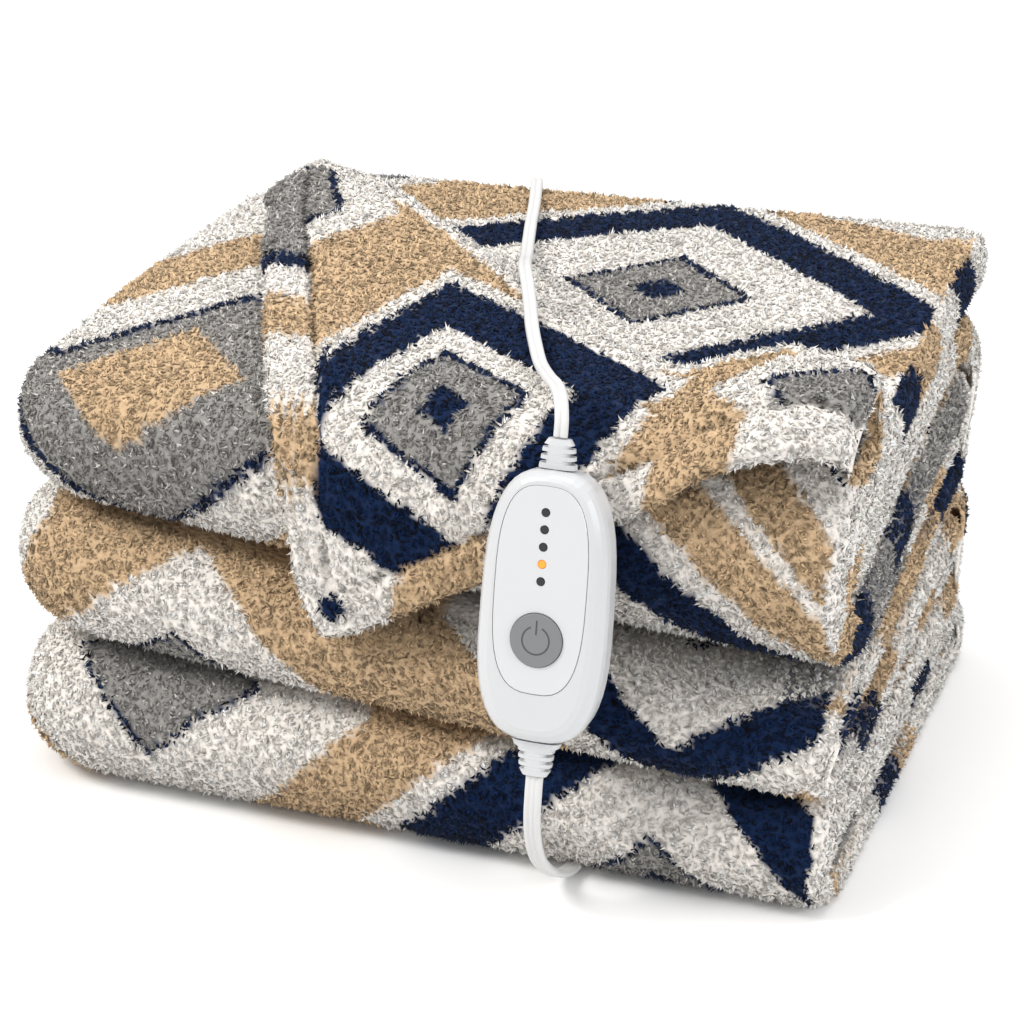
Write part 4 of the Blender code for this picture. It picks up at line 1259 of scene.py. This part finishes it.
def make_leads():
    """The mains lead with its coil, tie and plug, and the short lead into the throw."""
    skin = moulded("lead_skin", (0.60, 0.60, 0.595), 0.42, 0.5, 0.04)
    points = smooth_route([*MAINS_ROUTE, *coil_route()[2:], *TAIL_ROUTE])
    ring = lobes(MAINS_WIDTH, MAINS_THICK, 2, MAINS_WEB)
    mains = make_lead("mains_lead_flat", points, ring, MAINS_LOOKS, skin,
                      "mains_lead", "mains_coil", "mains_tail")
    lay_cord(mains, points, MAINS_LENGTH, MAINS_WIDTH, far_end="plug", lay="coiled",
             with_pieces=[make_plug(), make_tie(), NODES["plug_blade_1"], NODES["plug_blade_2"]])

    points = smooth_route(BLANKET_ROUTE)
    ring = lobes(BLANKET_LEAD_WIDTH, BLANKET_LEAD_THICK, 3, BLANKET_LEAD_WEB)
    lead = make_lead("throw_lead_flat", points, ring, BLANKET_LOOKS, skin, "blanket_lead")
    lay_cord(lead, points, float(walked(points)[-1]), BLANKET_LEAD_WIDTH, far_end="object", lay="hanging")


# --- The controller ---
MIDDLE_AT = np.array((90.2, -186.9, 153.0)) * MM - ORIGIN
TILT = math.radians(12)
SEAT = Matrix.Translation(Vector(MIDDLE_AT)) @ Matrix.Rotation(math.pi / 2 - TILT, 4, "X")
BUTTON_AT = -13.2
BUTTON_TOP = 13.4  # its face's height over the controller's middle, in mm
SYMBOL_RING, SYMBOL_STROKE, SYMBOL_GAP = 6.2, 0.36, 24  # radius and half width in mm, half gap in degrees
SYMBOL_LINE = (2.6, 9.0)  # from and to, in mm up from the button's middle
SYMBOL_SUNK, SYMBOL_PROUD = 0.1, 0.06  # below and above the button's face, in mm
LIT_LAMP = 4


def on_seat(points):
    """Points of the controller, in mm on its own axes, moved to where it hangs."""
    return [SEAT @ (Vector(p) * MM) for p in points]


def make_symbol():
    """The power symbol, printed on the button: a ring with a gap, and a line in the gap."""
    low, high = BUTTON_TOP - SYMBOL_SUNK, BUTTON_TOP + SYMBOL_PROUD

    def strip(inner, outer):
        return [on_seat(((*a, low), (*a, high), (*b, high), (*b, low))) for a, b in zip(inner, outer)]

    angles = np.radians(np.linspace(90 + SYMBOL_GAP, 450 - SYMBOL_GAP, 49))
    ring = [[(r * math.cos(a), BUTTON_AT + r * math.sin(a)) for a in angles]
            for r in (SYMBOL_RING - SYMBOL_STROKE, SYMBOL_RING + SYMBOL_STROKE)]
    line = [[(x, BUTTON_AT + y) for y in np.linspace(*SYMBOL_LINE, 6)]
            for x in (-SYMBOL_STROKE, SYMBOL_STROKE)]
    ink = moulded("symbol_print", (0.055, 0.055, 0.06), 0.5, 0.5, 0.01)
    attach(lofted("power_symbol", ink, 40, strip(*ring), strip(*line)), "button", "white_plastic")


def finish_nodes():
    """Gives the controller's own solids and the plug's blades their materials."""
    shell = moulded("satin_shell", (0.53, 0.535, 0.545), 0.3, 0.45, 0.03, coat=0.15)
    panel = moulded("gloss_panel", (0.56, 0.565, 0.575), 0.16, 0.5, 0.01, coat=0.4)
    button = moulded("button_grey", (0.17, 0.175, 0.18), 0.42, 0.4, 0.04)
    nickel = moulded("brushed_nickel", (0.72, 0.69, 0.63), 0.25, 0.3, 0.02, metallic=1)
    dark = lamp_material("lamp_dark", (0.012, 0.012, 0.014), 0)
    lit = lamp_material("lamp_lit", (1.0, 0.27, 0.02), 0.7)
    finishes = {
        "controller_front_shell": shell, "controller_back_shell": shell, "controller_face_panel": panel,
        "power_button": button, "relief_top": shell, "relief_bottom": shell,
        "plug_blade_1": nickel, "plug_blade_2": nickel,
        **{f"lamp_{i}": lit if i == LIT_LAMP else dark for i in range(1, 6)},
    }
    for name, material in finishes.items():
        for holder in NODES[name].material_slots:
            holder.material = material
    make_symbol()


make_camera()
make_studio()
make_leads()
finish_nodes()
make_throw()
with open(SIZE_FILE, "w") as file:
    json.dump({"cad": CAD_BOX, "visual": [list(corner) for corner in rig.bounds()]}, file)
